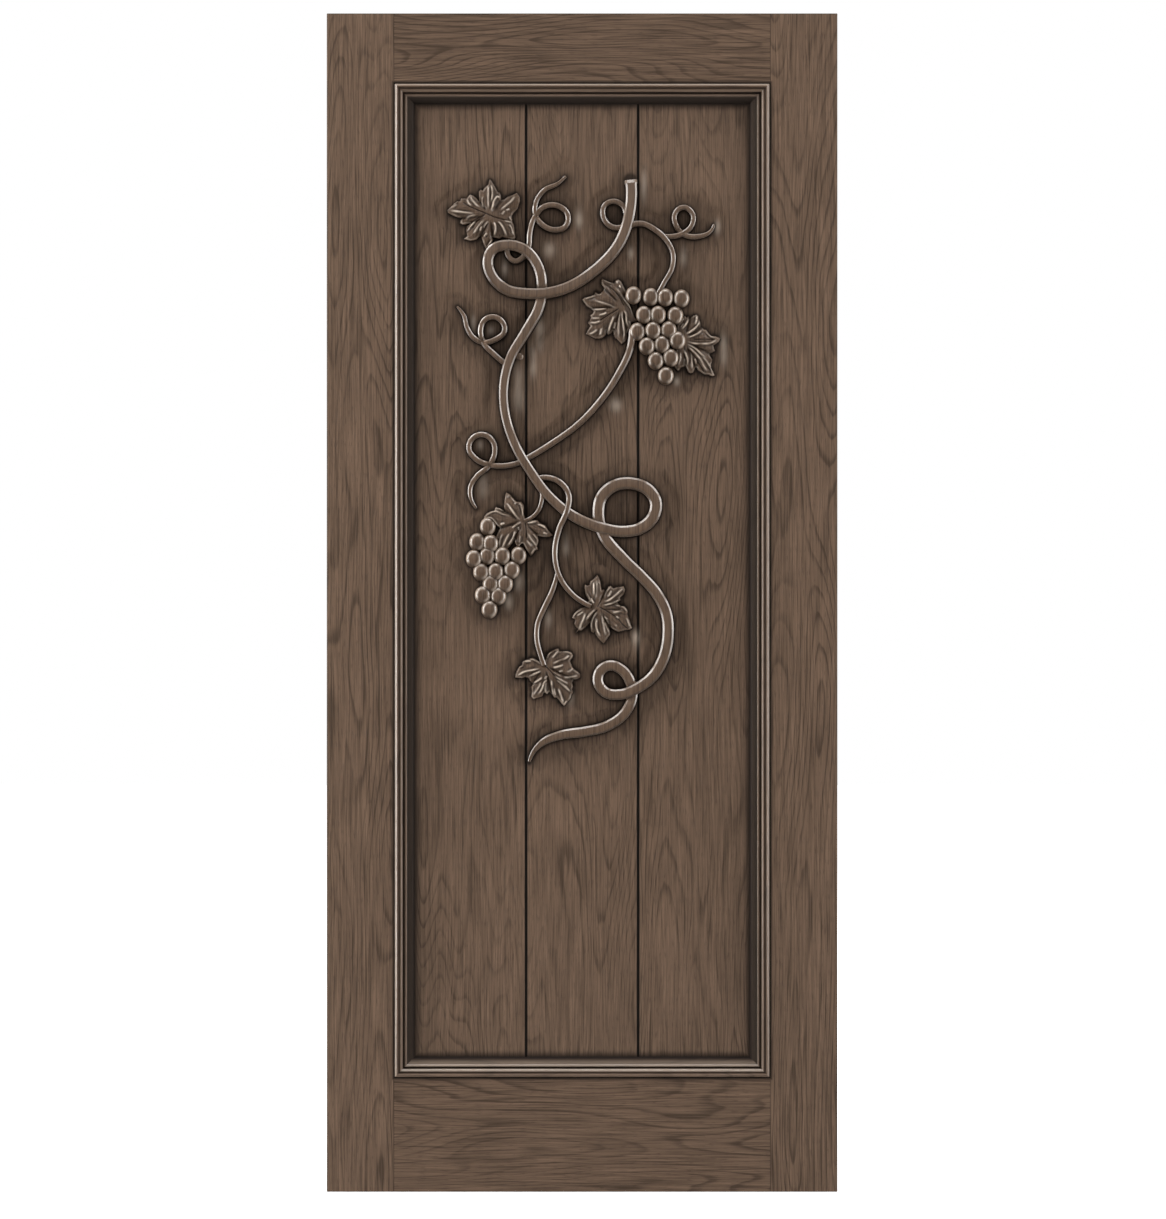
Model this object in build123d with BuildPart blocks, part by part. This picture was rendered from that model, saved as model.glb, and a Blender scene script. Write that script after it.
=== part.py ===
from build123d import *
import os
from math import atan2, cos, degrees, pi, sin, sqrt

# Wine cellar door leaf: stiles and rails round a recessed panel of three planks, with a carved grapevine.
# Millimetres. X runs across the door from the hinge edge, Y into the door from front to back,
# Z up from the bottom edge. The front faces -Y and mid-thickness is Y = 0.

os.makedirs("parts", exist_ok=True)

# Door leaf
DOOR_WIDTH = 914.0
DOOR_HEIGHT = 2109.0
DOOR_THICKNESS = 57.0
STILE_WIDTH = 120.0
TOP_RAIL_HEIGHT = 124.0
BOTTOM_RAIL_HEIGHT = 204.0
EDGE_EASE = 1.5

# Joints of the frame
TENON_THICKNESS = 19.0
TENON_LENGTH = 80.0
TENON_END_GAP = 2.0
TENON_SHOULDER = 20.0
GROOVE_DEPTH = 12.0
PLANK_TUCK = 10.0

# Planks
PLANK_THICKNESS = 25.0
PLANK_PITCH = 201.0
TONGUE_THICKNESS = 8.0
TONGUE_LENGTH = 8.0
TONGUE_END_GAP = 0.5
SEAM_CHAMFER = 2.7

# Inset moulding, seen in section: widths run inward from the opening's edge, heights from the frame's face
MOULDING_WIDTH = 36.0
MOULDING_CREASE = 1.6
BEAD_WIDTH = 6.4
BEAD_RISE = 3.5
HOLLOW_WIDTH = 3.0
HOLLOW_DEPTH = 0.7
STEP_WIDTH = 5.0
STEP_DROP = 5.0
STEP_SAG = 1.0
QUIRK_WIDTH = 2.8
QUIRK_DEPTH = 2.0
SMALL_BEAD_WIDTH = 4.7
SMALL_BEAD_RISE = 2.3
COVE_SAG = 3.0
MOULDING_TOE = 0.9

# Carving: heights above the planks, widths of the strands
CARVING_HEIGHT = 1052.0
CARVING_DROP = 174.0
VINE_WIDTH = 20.0
VINE_HEIGHT = 16.0
VINE_SHOULDER = 6.0
VINE_TIP_WIDTH = 5.5
TAIL_SHOULDER = 2.2
TAIL_TAPER = 2.5
BRANCH_WIDTH = 12.5
BRANCH_HEIGHT = 13.0
BRANCH_SHOULDER = 4.0
STALK_WIDTH = 10.2
STALK_TIP_WIDTH = 7.5
STALK_HEIGHT = 14.0
STALK_SHOULDER = 3.0
TENDRIL_WIDTH = 10.2
TENDRIL_TIP_WIDTH = 5.0
TENDRIL_HEIGHT = 11.0
TENDRIL_SHOULDER = 2.0
NUB_RADIUS = 7.0
GRAPE_RADIUS = 13.0
GRAPE_CENTRE_HEIGHT = 6.3
GRAPE_BANDS = 3
GRAPE_SIDES = 10
CARVING_GAP = 0.3
LEAF_HUB_HEIGHT = 14.0
LEAF_TIP_HEIGHT = 9.0
LEAF_HOLLOW_HEIGHT = 4.0

# The carving is drawn on a grid of 1052 steps from its highest tip to its lowest. Its points are (across, up),
# in steps from the vine's cut end, with across counted from the panel's centre line.
DRAWN_HEIGHT = 1052.0
STEP = CARVING_HEIGHT / DRAWN_HEIGHT

VINE_TOP = [
    (87, 0), (86, -54), (65, -116), (24, -161), (-38, -197), (-92, -204), (-140, -194), (-164, -168), (-169, -147),
]
VINE_MIDDLE = [
    (-169, -147), (-162, -127), (-134, -117), (-103, -125), (-79, -155), (-72, -188), (-77, -227),
    (-101, -272), (-128, -318), (-140, -365), (-139, -412), (-123, -468), (-92, -523), (-59, -567),
    (-18, -601), (37, -624), (73, -630), (107, -623), (127, -604), (132, -578),
]
VINE_LOWER = [
    (132, -578), (119, -556), (91, -544), (58, -548), (35, -568), (29, -596), (37, -632), (76, -681),
    (108, -712), (134, -742), (150, -774), (154, -813), (146, -856), (127, -889), (100, -910), (69, -922),
    (40, -917), (28, -894),
]
VINE_TAIL = [
    (28, -894), (35, -877), (52, -870), (71, -878), (86, -899), (90, -925), (76, -956), (44, -979),
    (3, -989), (-38, -995), (-72, -1009), (-90, -1030), (-95, -1044),
]
BRANCH = [(90, -268), (86, -301), (64, -349), (33, -395), (-3, -434), (-56, -473), (-99, -499)]
BUNCH_STALK = [(82, -84), (106, -78), (129, -88), (151, -108), (163, -133), (161, -158), (147, -184), (136, -204)]
LEAF_STALK = [(-73, -548), (-72, -573), (-81, -596), (-104, -611)]
MIDDLE_STALK = [
    (-79, -535), (-58, -534), (-37, -544), (-24, -565), (-26, -589), (-41, -625), (-49, -666),
    (-42, -707), (-20, -740), (16, -764),
]
BOTTOM_STALK = [(-44, -705), (-55, -740), (-69, -769), (-80, -797), (-81, -825), (-75, -850), (-68, -870)]
TENDRIL_RING = [(78, -59), (70, -43), (55, -38), (40, -46), (37, -61), (44, -77), (58, -85), (76, -82)]

# A curled tendril is drawn in two lengths: the loop that lies on top, and the end that passes beneath it.
TENDRIL_TOP = (
    [
        (-134, -122), (-130, -139), (-119, -145), (-107, -139), (-96, -120), (-94, -97), (-86, -68),
        (-69, -48), (-44, -46), (-26, -62), (-29, -82), (-50, -89),
    ],
    [(-50, -89), (-70, -81), (-84, -60), (-83, -41), (-69, -19), (-42, -5), (-29, 8)],
)
TENDRIL_RIGHT = (
    [(144, -92), (161, -99), (180, -96), (196, -82), (198, -61), (180, -49), (166, -62)],
    [(166, -62), (170, -84), (186, -99), (209, -101), (230, -92), (237, -78)],
)
TENDRIL_LEFT = (
    [(-139, -328), (-159, -311), (-176, -293), (-182, -270), (-175, -251), (-161, -245), (-144, -253), (-139, -270)],
    [(-139, -270), (-156, -286), (-173, -291), (-194, -283), (-206, -265), (-212, -243), (-225, -226)],
)
TENDRIL_LOWER = (
    [(-103, -502), (-130, -511), (-162, -511), (-189, -501), (-203, -480), (-193, -460), (-174, -457), (-159, -471)],
    [(-159, -471), (-157, -490), (-169, -514), (-188, -530), (-200, -550), (-198, -575), (-189, -589)],
)
NUB_CENTRE = (-112, -317)

UPPER_GRAPES = [
    (92, -207), (123, -210), (149, -211), (178, -213), (111, -242), (136, -242), (167, -243), (99, -272),
    (127, -270), (155, -269), (116, -298), (143, -295), (171, -288), (132, -324), (159, -319), (150, -351),
]
LOWER_GRAPES = [
    (-169, -621), (-188, -649), (-164, -652), (-194, -679), (-170, -674), (-143, -674), (-114, -673),
    (-181, -703), (-155, -702), (-126, -699), (-164, -724), (-138, -724), (-178, -744), (-150, -746), (-166, -770),
]

# A leaf is its hub, its lobe tips that carry a vein, and its outline from point to point, clockwise.
LEAF_TOP = (
    (-165, -64),
    [(-242, -53), (-165, 2), (-114, -25), (-122, -100), (-172, -123), (-211, -105)],
    [
        (-242, -53), (-217, -33), (-185, -35), (-183, -17), (-165, 2), (-151, -15), (-144, -36), (-114, -25),
        (-116, -49), (-125, -76), (-122, -100), (-155, -103), (-172, -123), (-182, -97), (-211, -105),
        (-201, -80), (-216, -80),
    ],
)
LEAF_LEFT_OF_BUNCH = (
    (70, -229),
    [(35, -177), (71, -185), (71, -295), (29, -286), (1, -214)],
    [
        (35, -177), (58, -185), (71, -185), (80, -203), (91, -215), (91, -251), (79, -279), (71, -295),
        (58, -280), (29, -286), (7, -277), (14, -256), (20, -236), (1, -214), (23, -202), (38, -196),
    ],
)
LEAF_RIGHT_OF_BUNCH = (
    (183, -288),
    [(206, -243), (246, -282), (237, -352), (187, -337)],
    [
        (178, -261), (191, -246), (206, -243), (212, -253), (220, -266), (246, -282), (237, -297), (228, -311),
        (233, -329), (237, -352), (205, -347), (187, -337), (173, -338), (162, -322),
    ],
)
LEAF_OVER_BUNCH = (
    (-104, -612),
    [(-134, -561), (-53, -638), (-91, -673), (-114, -658), (-144, -666), (-175, -602)],
    [
        (-134, -561), (-120, -578), (-107, -578), (-97, -592), (-82, -609), (-66, -623), (-53, -638),
        (-80, -638), (-77, -649), (-91, -673), (-107, -652), (-114, -658), (-122, -645), (-144, -666),
        (-156, -639), (-152, -623), (-175, -602), (-154, -586), (-138, -589),
    ],
)
LEAF_MIDDLE = (
    (27, -768),
    [(27, -708), (75, -729), (91, -804), (40, -832), (-11, -811), (-18, -785)],
    [
        (5, -741), (6, -724), (27, -708), (33, -743), (50, -728), (75, -729), (67, -751), (84, -775),
        (80, -784), (91, -804), (67, -812), (51, -806), (51, -817), (40, -832), (19, -812), (14, -793),
        (-11, -811), (-18, -785), (3, -767),
    ],
)
LEAF_BOTTOM = (
    (-68, -870),
    [(-104, -861), (-120, -891), (-89, -930), (-32, -943), (-3, -885), (-15, -853), (-44, -840)],
    [
        (-80, -863), (-104, -861), (-107, -871), (-120, -891), (-96, -893), (-88, -904), (-93, -917),
        (-89, -930), (-64, -922), (-54, -919), (-32, -943), (-15, -920), (-19, -911), (-3, -885),
        (-22, -864), (-15, -853), (-44, -840),
    ],
)

# Places that follow from the sizes
FRONT_FACE = -DOOR_THICKNESS / 2
PLANK_FRONT = -PLANK_THICKNESS / 2
RECESS_DEPTH = PLANK_FRONT - FRONT_FACE
MIDDLE_X = DOOR_WIDTH / 2
OPENING_LEFT = STILE_WIDTH
OPENING_RIGHT = DOOR_WIDTH - STILE_WIDTH
OPENING_BOTTOM = BOTTOM_RAIL_HEIGHT
OPENING_TOP = DOOR_HEIGHT - TOP_RAIL_HEIGHT
OPENING_WIDTH = OPENING_RIGHT - OPENING_LEFT
OPENING_HEIGHT = OPENING_TOP - OPENING_BOTTOM
MORTISE_LENGTH = TENON_LENGTH + TENON_END_GAP
CARVING = Plane(origin=(MIDDLE_X, PLANK_FRONT, OPENING_TOP - CARVING_DROP), x_dir=(1, 0, 0), z_dir=(0, -1, 0))
NEARLY_STRAIGHT = 0.002


def save(piece, label):
    """Names a finished piece and writes it."""
    piece.part.label = label
    export_step(piece.part, f"parts/{label}.step")


# Stiles: grooved for the planks, mortised for the rails
def tenon_span(rail_bottom, rail_top):
    """The heights between which a rail's tenon runs, clear of the door's edge and of the groove."""
    if rail_bottom == 0:
        return TENON_SHOULDER, rail_top - GROOVE_DEPTH
    return rail_bottom + GROOVE_DEPTH, rail_top - TENON_SHOULDER


RAIL_SPANS = {"bottom_rail": (0, OPENING_BOTTOM), "top_rail": (OPENING_TOP, DOOR_HEIGHT)}

with BuildPart() as hinge_stile:
    with BuildSketch(Plane.XY):
        Rectangle(STILE_WIDTH, DOOR_THICKNESS, align=(Align.MIN, Align.CENTER))
    extrude(amount=DOOR_HEIGHT)
    chamfer(hinge_stile.edges().filter_by(Axis.Z).group_by(Axis.X)[0], EDGE_EASE)
    with BuildSketch(Plane.XY.offset(OPENING_BOTTOM - GROOVE_DEPTH)):
        with Locations((STILE_WIDTH, 0)):
            Rectangle(GROOVE_DEPTH, PLANK_THICKNESS, align=(Align.MAX, Align.CENTER))
    extrude(amount=OPENING_HEIGHT + 2 * GROOVE_DEPTH, mode=Mode.SUBTRACT)
    for rail_bottom, rail_top in RAIL_SPANS.values():
        low, high = tenon_span(rail_bottom, rail_top)
        with BuildSketch(Plane.XY.offset(low)):
            with Locations((STILE_WIDTH, 0)):
                Rectangle(MORTISE_LENGTH, TENON_THICKNESS, align=(Align.MAX, Align.CENTER))
        extrude(amount=high - low, mode=Mode.SUBTRACT)
save(hinge_stile, "hinge_stile")

with BuildPart() as lock_stile:
    mirror(hinge_stile.part, about=Plane.YZ.offset(MIDDLE_X))
save(lock_stile, "lock_stile")

# Rails: a tenon at each end, a groove along the edge that faces the planks
for label, (rail_bottom, rail_top) in RAIL_SPANS.items():
    low, high = tenon_span(rail_bottom, rail_top)
    groove_bottom = OPENING_BOTTOM - GROOVE_DEPTH if rail_bottom == 0 else OPENING_TOP
    with BuildPart() as rail:
        with BuildSketch(Plane.XY.offset(rail_bottom)):
            with Locations((MIDDLE_X, 0)):
                Rectangle(OPENING_WIDTH, DOOR_THICKNESS)
        extrude(amount=rail_top - rail_bottom)
        with BuildSketch(Plane.XY.offset(low)):
            with Locations((MIDDLE_X, 0)):
                Rectangle(OPENING_WIDTH + 2 * TENON_LENGTH, TENON_THICKNESS)
        extrude(amount=high - low)
        with BuildSketch(Plane.XY.offset(groove_bottom)):
            with Locations((MIDDLE_X, 0)):
                Rectangle(OPENING_WIDTH, PLANK_THICKNESS)
        extrude(amount=GROOVE_DEPTH, mode=Mode.SUBTRACT)
    save(rail, label)


# Planks: tongue and groove, with the arrises of each seam chamfered on both faces
def plank(label, left, right, left_seam, right_seam):
    """One plank from side to side. A seam on its left is grooved, and a seam on its right has the tongue."""
    with BuildPart() as board:
        with BuildSketch(Plane.XY.offset(OPENING_BOTTOM - PLANK_TUCK)):
            with Locations((left, 0)):
                Rectangle(right - left, PLANK_THICKNESS, align=(Align.MIN, Align.CENTER))
        extrude(amount=OPENING_HEIGHT + 2 * PLANK_TUCK)
        uprights = board.edges().filter_by(Axis.Z)
        if left_seam:
            chamfer(uprights.group_by(Axis.X)[0], SEAM_CHAMFER)
        if right_seam:
            chamfer(uprights.group_by(Axis.X)[-1], SEAM_CHAMFER)
        if right_seam:
            with BuildSketch(Plane.XY.offset(OPENING_BOTTOM - PLANK_TUCK)):
                with Locations((right, 0)):
                    Rectangle(TONGUE_LENGTH, TONGUE_THICKNESS, align=(Align.MIN, Align.CENTER))
            extrude(amount=OPENING_HEIGHT + 2 * PLANK_TUCK)
        if left_seam:
            with BuildSketch(Plane.XY.offset(OPENING_BOTTOM - PLANK_TUCK)):
                with Locations((left, 0)):
                    Rectangle(TONGUE_LENGTH + TONGUE_END_GAP, TONGUE_THICKNESS, align=(Align.MIN, Align.CENTER))
            extrude(amount=OPENING_HEIGHT + 2 * PLANK_TUCK, mode=Mode.SUBTRACT)
    save(board, label)


LEFT_SEAM = MIDDLE_X - PLANK_PITCH / 2
RIGHT_SEAM = MIDDLE_X + PLANK_PITCH / 2
plank("plank_left", OPENING_LEFT - PLANK_TUCK, LEFT_SEAM, False, True)
plank("plank_centre", LEFT_SEAM, RIGHT_SEAM, True, True)
plank("plank_right", RIGHT_SEAM, OPENING_RIGHT + PLANK_TUCK, True, False)


# Mouldings: four mitred lengths on each face, seated on the planks against the frame
def moulding_section():
    """The moulding's profile: outer bead, hollow, step, quirk, small bead, then a deep cove down to the planks."""
    bead_end = MOULDING_CREASE + BEAD_WIDTH
    hollow_end = bead_end + HOLLOW_WIDTH
    step_end = hollow_end + STEP_WIDTH
    quirk_end = step_end + QUIRK_WIDTH
    small_end = quirk_end + SMALL_BEAD_WIDTH
    ledge = -STEP_DROP - QUIRK_DEPTH
    toe = -RECESS_DEPTH + MOULDING_TOE
    Polyline((0, ledge), (0, -MOULDING_CREASE), (MOULDING_CREASE, 0))
    ThreePointArc((MOULDING_CREASE, 0), (MOULDING_CREASE + BEAD_WIDTH / 2, BEAD_RISE), (bead_end, 0))
    ThreePointArc((bead_end, 0), (bead_end + HOLLOW_WIDTH / 2, -HOLLOW_DEPTH), (hollow_end, 0))
    SagittaArc((hollow_end, 0), (step_end, -STEP_DROP), STEP_SAG)
    Polyline((step_end, -STEP_DROP), (step_end, ledge), (quirk_end, ledge))
    ThreePointArc((quirk_end, ledge), (quirk_end + SMALL_BEAD_WIDTH / 2, ledge + SMALL_BEAD_RISE), (small_end, ledge))
    SagittaArc((small_end, ledge), (MOULDING_WIDTH, toe), COVE_SAG)
    Polyline((MOULDING_WIDTH, toe), (MOULDING_WIDTH, -RECESS_DEPTH), (0, -RECESS_DEPTH), (0, ledge))


def moulding(side, edge_middle, inward, length):
    """A length of moulding on one edge of the opening, mitred at both ends, and its twin on the back."""
    inward = Vector(*inward)
    along = inward.cross(Vector(0, -1, 0))
    middle = Vector(*edge_middle)
    section_plane = Plane(origin=middle, x_dir=inward, z_dir=along)
    with BuildPart() as front:
        with BuildSketch(section_plane) as section:
            with BuildLine():
                moulding_section()
            make_face()
        extrude(amount=length / 2, both=True)
        for way in (1, -1):
            corner = middle + along * (way * length / 2)
            split(bisect_by=Plane(origin=corner, z_dir=along * way + inward), keep=Keep.BOTTOM)
    save(front, f"front_moulding_{side}")
    with BuildPart() as back:
        mirror(front.part, about=Plane.XZ)
    save(back, f"back_moulding_{side}")


OPENING_MIDDLE_Z = (OPENING_BOTTOM + OPENING_TOP) / 2
moulding("left", (OPENING_LEFT, FRONT_FACE, OPENING_MIDDLE_Z), (1, 0, 0), OPENING_HEIGHT)
moulding("right", (OPENING_RIGHT, FRONT_FACE, OPENING_MIDDLE_Z), (-1, 0, 0), OPENING_HEIGHT)
moulding("bottom", (MIDDLE_X, FRONT_FACE, OPENING_BOTTOM), (0, 0, 1), OPENING_WIDTH)
moulding("top", (MIDDLE_X, FRONT_FACE, OPENING_TOP), (0, 0, -1), OPENING_WIDTH)


# Carved strands: each side of a strand runs through points offset from its centre line. The vine's sides are
# chains of tangent arcs, and those of the thin strands are cut in straight facets.
def grid(point):
    """A drawn point as a place on the carving's plane."""
    return Vector(point[0], point[1]) * STEP


def headings_along(spots):
    """The direction at each point: that of the circle through the point and its two neighbours."""
    inner = []
    for before, here, after in zip(spots, spots[1:], spots[2:]):
        arrive = here - before
        leave = after - here
        inner.append((arrive / arrive.length**2 + leave / leave.length**2).normalized())
    first_chord = (spots[1] - spots[0]).normalized()
    last_chord = (spots[-1] - spots[-2]).normalized()
    first = first_chord * (2 * first_chord.dot(inner[0])) - inner[0]
    last = last_chord * (2 * last_chord.dot(inner[-1])) - inner[-1]
    return [first, *inner, last]


def lengths_of(*point_lists):
    """The spots and headings of each length of one flowing line, where a length starts at the last one's end."""
    spots = [grid(point) for point in point_lists[0]]
    spots += [grid(point) for points in point_lists[1:] for point in points[1:]]
    headings = headings_along(spots)
    lengths = []
    first = 0
    for points in point_lists:
        lengths.append((spots[first : first + len(points)], headings[first : first + len(points)]))
        first += len(points) - 1
    return lengths


def tangent_run(start, end, heading):
    """An arc that leaves the start along the heading, or a line where it would be straight."""
    if heading.normalized().cross((end - start).normalized()).length < NEARLY_STRAIGHT:
        Line(start, end)
    else:
        TangentArc(start, end, tangent=heading)


def arc_meeting(start, end, leave, arrive):
    """Where two tangent arcs from start to end meet, halfway between their handles, and the heading there."""
    chord = end - start
    spread = chord.dot(leave + arrive)
    turn = 2 * (1 - leave.dot(arrive))
    span = chord.dot(chord)
    handle = (sqrt(spread**2 + turn * span) - spread) / turn if turn > NEARLY_STRAIGHT**2 else span / (2 * spread)
    first_handle = start + leave * handle
    last_handle = end - arrive * handle
    return (first_handle + last_handle) / 2, last_handle - first_handle


def flowing_side(spots, headings):
    """Two tangent arcs between each pair of neighbours."""
    for start, end, leave, arrive in zip(spots, spots[1:], headings, headings[1:]):
        meet, heading = arc_meeting(start, end, leave, arrive)
        tangent_run(start, meet, leave)
        tangent_run(meet, end, heading)


def faceted_side(spots, headings):
    """Two straight facets between each pair of neighbours, by way of the place where their arcs would meet."""
    corners = [spots[0]]
    for start, end, leave, arrive in zip(spots, spots[1:], headings, headings[1:]):
        meet, heading = arc_meeting(start, end, leave, arrive)
        corners += [meet, end]
    Polyline(*corners)


class Strand:
    """The outline of a carved strand on the planks, with the middles of the ends that stay square."""

    def __init__(self, length, start_width, end_width=None, taper=1.0, round_tip=False, side=flowing_side):
        end_width = end_width or start_width
        spots, headings = length
        last = len(spots) - 1
        halves = [(start_width + (end_width - start_width) * (i / last) ** taper) / 2 for i in range(last + 1)]
        offsets = [Vector(-heading.Y, heading.X) * half for heading, half in zip(headings, halves)]
        left = [spot + offset for spot, offset in zip(spots, offsets)]
        right = [spot - offset for spot, offset in zip(spots, offsets)]
        with BuildSketch(CARVING) as outline:
            with BuildLine():
                side(left, headings)
                side(right, headings)
                Line(left[0], right[0])
                if round_tip:
                    ThreePointArc(left[-1], spots[-1] + headings[-1] * halves[-1], right[-1])
                else:
                    Line(left[-1], right[-1])
            make_face()
        self.sketch = outline.sketch
        self.square_ends = [spots[0]] if round_tip else [spots[0], spots[-1]]


class CoveringStrand:
    """A strand with the wider outline that it cuts from whatever passes beneath it."""

    def __init__(self, length, start_width, end_width=None, **shape):
        end_width = end_width or start_width
        margin = 2 * CARVING_GAP
        self.strand = Strand(length, start_width, end_width, **shape)
        self.cover = Strand(length, start_width + margin, end_width + margin, **shape).sketch


def raised_strand(strand, height, shoulder):
    """A strand raised from the planks, with its top edges bevelled and its square ends left crisp."""
    with BuildPart() as raised:
        extrude(strand.sketch, amount=height)
        ends = [CARVING.from_local_coords((end.X, end.Y, height)) for end in strand.square_ends]
        top = raised.faces().sort_by(Axis.Y)[0]
        edges = [edge for edge in top.edges() if all((edge @ 0.5 - end).length > shoulder / 4 for end in ends)]
        chamfer(edges, shoulder)
    return raised.part


def carve(label, solids, over=()):
    """Joins the solids of one carved piece and cuts away what lies beneath the outlines that pass over it."""
    with BuildPart() as piece:
        for solid in solids:
            add(solid)
        for outline in over:
            extrude(outline, amount=VINE_HEIGHT + GRAPE_RADIUS, mode=Mode.SUBTRACT)
    save(piece, label)


def curl(points):
    """The solids of a curled tendril: the loop on top, and the tapering end cut where it passes beneath."""
    loop_length, tip_length = lengths_of(*points)
    loop = CoveringStrand(loop_length, TENDRIL_WIDTH, side=faceted_side)
    tip = Strand(tip_length, TENDRIL_WIDTH, TENDRIL_TIP_WIDTH, round_tip=True, side=faceted_side)
    with BuildPart() as beneath:
        add(raised_strand(tip, TENDRIL_HEIGHT, TENDRIL_SHOULDER))
        extrude(loop.cover, amount=TENDRIL_HEIGHT, mode=Mode.SUBTRACT)
    return [raised_strand(loop.strand, TENDRIL_HEIGHT, TENDRIL_SHOULDER), beneath.part]


def bunch_cover(grapes):
    """The outline that a bunch cuts from whatever lies beneath it: each grape's own, a little wider."""
    with BuildSketch(CARVING) as outline:
        with Locations(*[grid(grape) for grape in grapes]):
            RegularPolygon(GRAPE_RADIUS + CARVING_GAP, GRAPE_SIDES, major_radius=False)
    return outline.sketch


def bunch(grapes):
    """Round grapes on the planks, each built up in tapering bands of facets that follow a sphere."""
    tilts = [pi / 2 * band / (GRAPE_BANDS + 0.5) for band in range(GRAPE_BANDS + 1)]
    with BuildPart() as grape:
        with BuildSketch(Plane.XY):
            RegularPolygon(GRAPE_RADIUS, GRAPE_SIDES, major_radius=False)
        extrude(amount=GRAPE_CENTRE_HEIGHT)
        for tilt, next_tilt in zip(tilts, tilts[1:]):
            low = GRAPE_RADIUS * sin(tilt)
            high = GRAPE_RADIUS * sin(next_tilt)
            shrink = GRAPE_RADIUS * (cos(tilt) - cos(next_tilt))
            with BuildSketch(Plane.XY.offset(GRAPE_CENTRE_HEIGHT + low)):
                RegularPolygon(GRAPE_RADIUS * cos(tilt), GRAPE_SIDES, major_radius=False)
            extrude(amount=high - low, taper=degrees(atan2(shrink, high - low)))
    with BuildPart() as cluster:
        with Locations(CARVING):
            with Locations(*[grid(spot) for spot in grapes]):
                add(grape.part)
    return cluster.part


def leaf_cover(leaf):
    """The outline that a leaf cuts from whatever lies beneath it."""
    with BuildSketch(CARVING) as cover:
        with BuildLine():
            Polyline(*[grid(point) for point in leaf[2]], close=True)
        make_face()
        offset(amount=CARVING_GAP, kind=Kind.INTERSECTION)
    return cover.sketch


def leaf_solid(leaf):
    """A leaf whose ridges fall from the hub to the lobe tips, with hollows between them down to the notches."""
    hub, tips, outline = leaf

    def raised(point, height):
        place = grid(point)
        return CARVING.from_local_coords((place.X, place.Y, height))

    apex = raised(hub, LEAF_HUB_HEIGHT)
    base = [raised(point, 0) for point in outline]
    edge = [raised(point, LEAF_TIP_HEIGHT if point in tips else LEAF_HOLLOW_HEIGHT) for point in outline]
    faces = [Face(Wire.make_polygon(base))]
    for i in range(len(outline)):
        faces.append(Face(Wire.make_polygon([edge[i - 1], edge[i], apex])))
        faces.append(Face(Wire.make_polygon([base[i - 1], base[i], edge[i], edge[i - 1]])))
    return Solid(Shell(faces))


top_length, middle_length, lower_length, tail_length = lengths_of(VINE_TOP, VINE_MIDDLE, VINE_LOWER, VINE_TAIL)
vine_top = CoveringStrand(top_length, VINE_WIDTH)
vine_middle = CoveringStrand(middle_length, VINE_WIDTH)
vine_lower = CoveringStrand(lower_length, VINE_WIDTH)
vine_tail = Strand(tail_length, VINE_WIDTH, VINE_TIP_WIDTH, taper=TAIL_TAPER, round_tip=True)
branch = Strand(lengths_of(BRANCH)[0], BRANCH_WIDTH)
bunch_stalk = CoveringStrand(lengths_of(BUNCH_STALK)[0], STALK_WIDTH, side=faceted_side)
leaf_stalk = CoveringStrand(
    lengths_of(LEAF_STALK)[0], STALK_WIDTH, STALK_TIP_WIDTH, round_tip=True, side=faceted_side
)
middle_stalk = CoveringStrand(lengths_of(MIDDLE_STALK)[0], STALK_WIDTH, round_tip=True, side=faceted_side)
bottom_stalk = CoveringStrand(lengths_of(BOTTOM_STALK)[0], STALK_WIDTH, round_tip=True, side=faceted_side)
tendril_ring = Strand(lengths_of(TENDRIL_RING)[0], TENDRIL_WIDTH, side=faceted_side)
upper_grapes_cover = bunch_cover(UPPER_GRAPES)
left_leaf_cover = leaf_cover(LEAF_LEFT_OF_BUNCH)
bunch_leaf_cover = leaf_cover(LEAF_OVER_BUNCH)

# Main vine, from its cut end to its tip. Where it loops over itself the later length lies beneath the earlier.
carve("vine_top", [raised_strand(vine_top.strand, VINE_HEIGHT, VINE_SHOULDER)])
carve(
    "vine_middle",
    [raised_strand(vine_middle.strand, VINE_HEIGHT, VINE_SHOULDER)],
    over=[vine_top.cover, middle_stalk.cover],
)
carve(
    "vine_lower",
    [raised_strand(vine_lower.strand, VINE_HEIGHT, VINE_SHOULDER)],
    over=[vine_middle.cover],
)
carve(
    "vine_tail",
    [raised_strand(vine_tail, VINE_HEIGHT, TAIL_SHOULDER)],
    over=[vine_lower.cover],
)

# Branch and stalks
carve(
    "vine_branch",
    [raised_strand(branch, BRANCH_HEIGHT, BRANCH_SHOULDER)],
    over=[vine_middle.cover, upper_grapes_cover, left_leaf_cover],
)
carve(
    "stalk_upper_bunch",
    [raised_strand(bunch_stalk.strand, STALK_HEIGHT, STALK_SHOULDER)],
    over=[vine_top.cover, upper_grapes_cover],
)
carve("stalk_bunch_leaf", [raised_strand(leaf_stalk.strand, STALK_HEIGHT, STALK_SHOULDER)], over=[vine_middle.cover])
carve("stalk_middle_leaf", [raised_strand(middle_stalk.strand, STALK_HEIGHT, STALK_SHOULDER)])
carve(
    "stalk_bottom_leaf",
    [raised_strand(bottom_stalk.strand, STALK_HEIGHT, STALK_SHOULDER)],
    over=[middle_stalk.cover],
)

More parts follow.
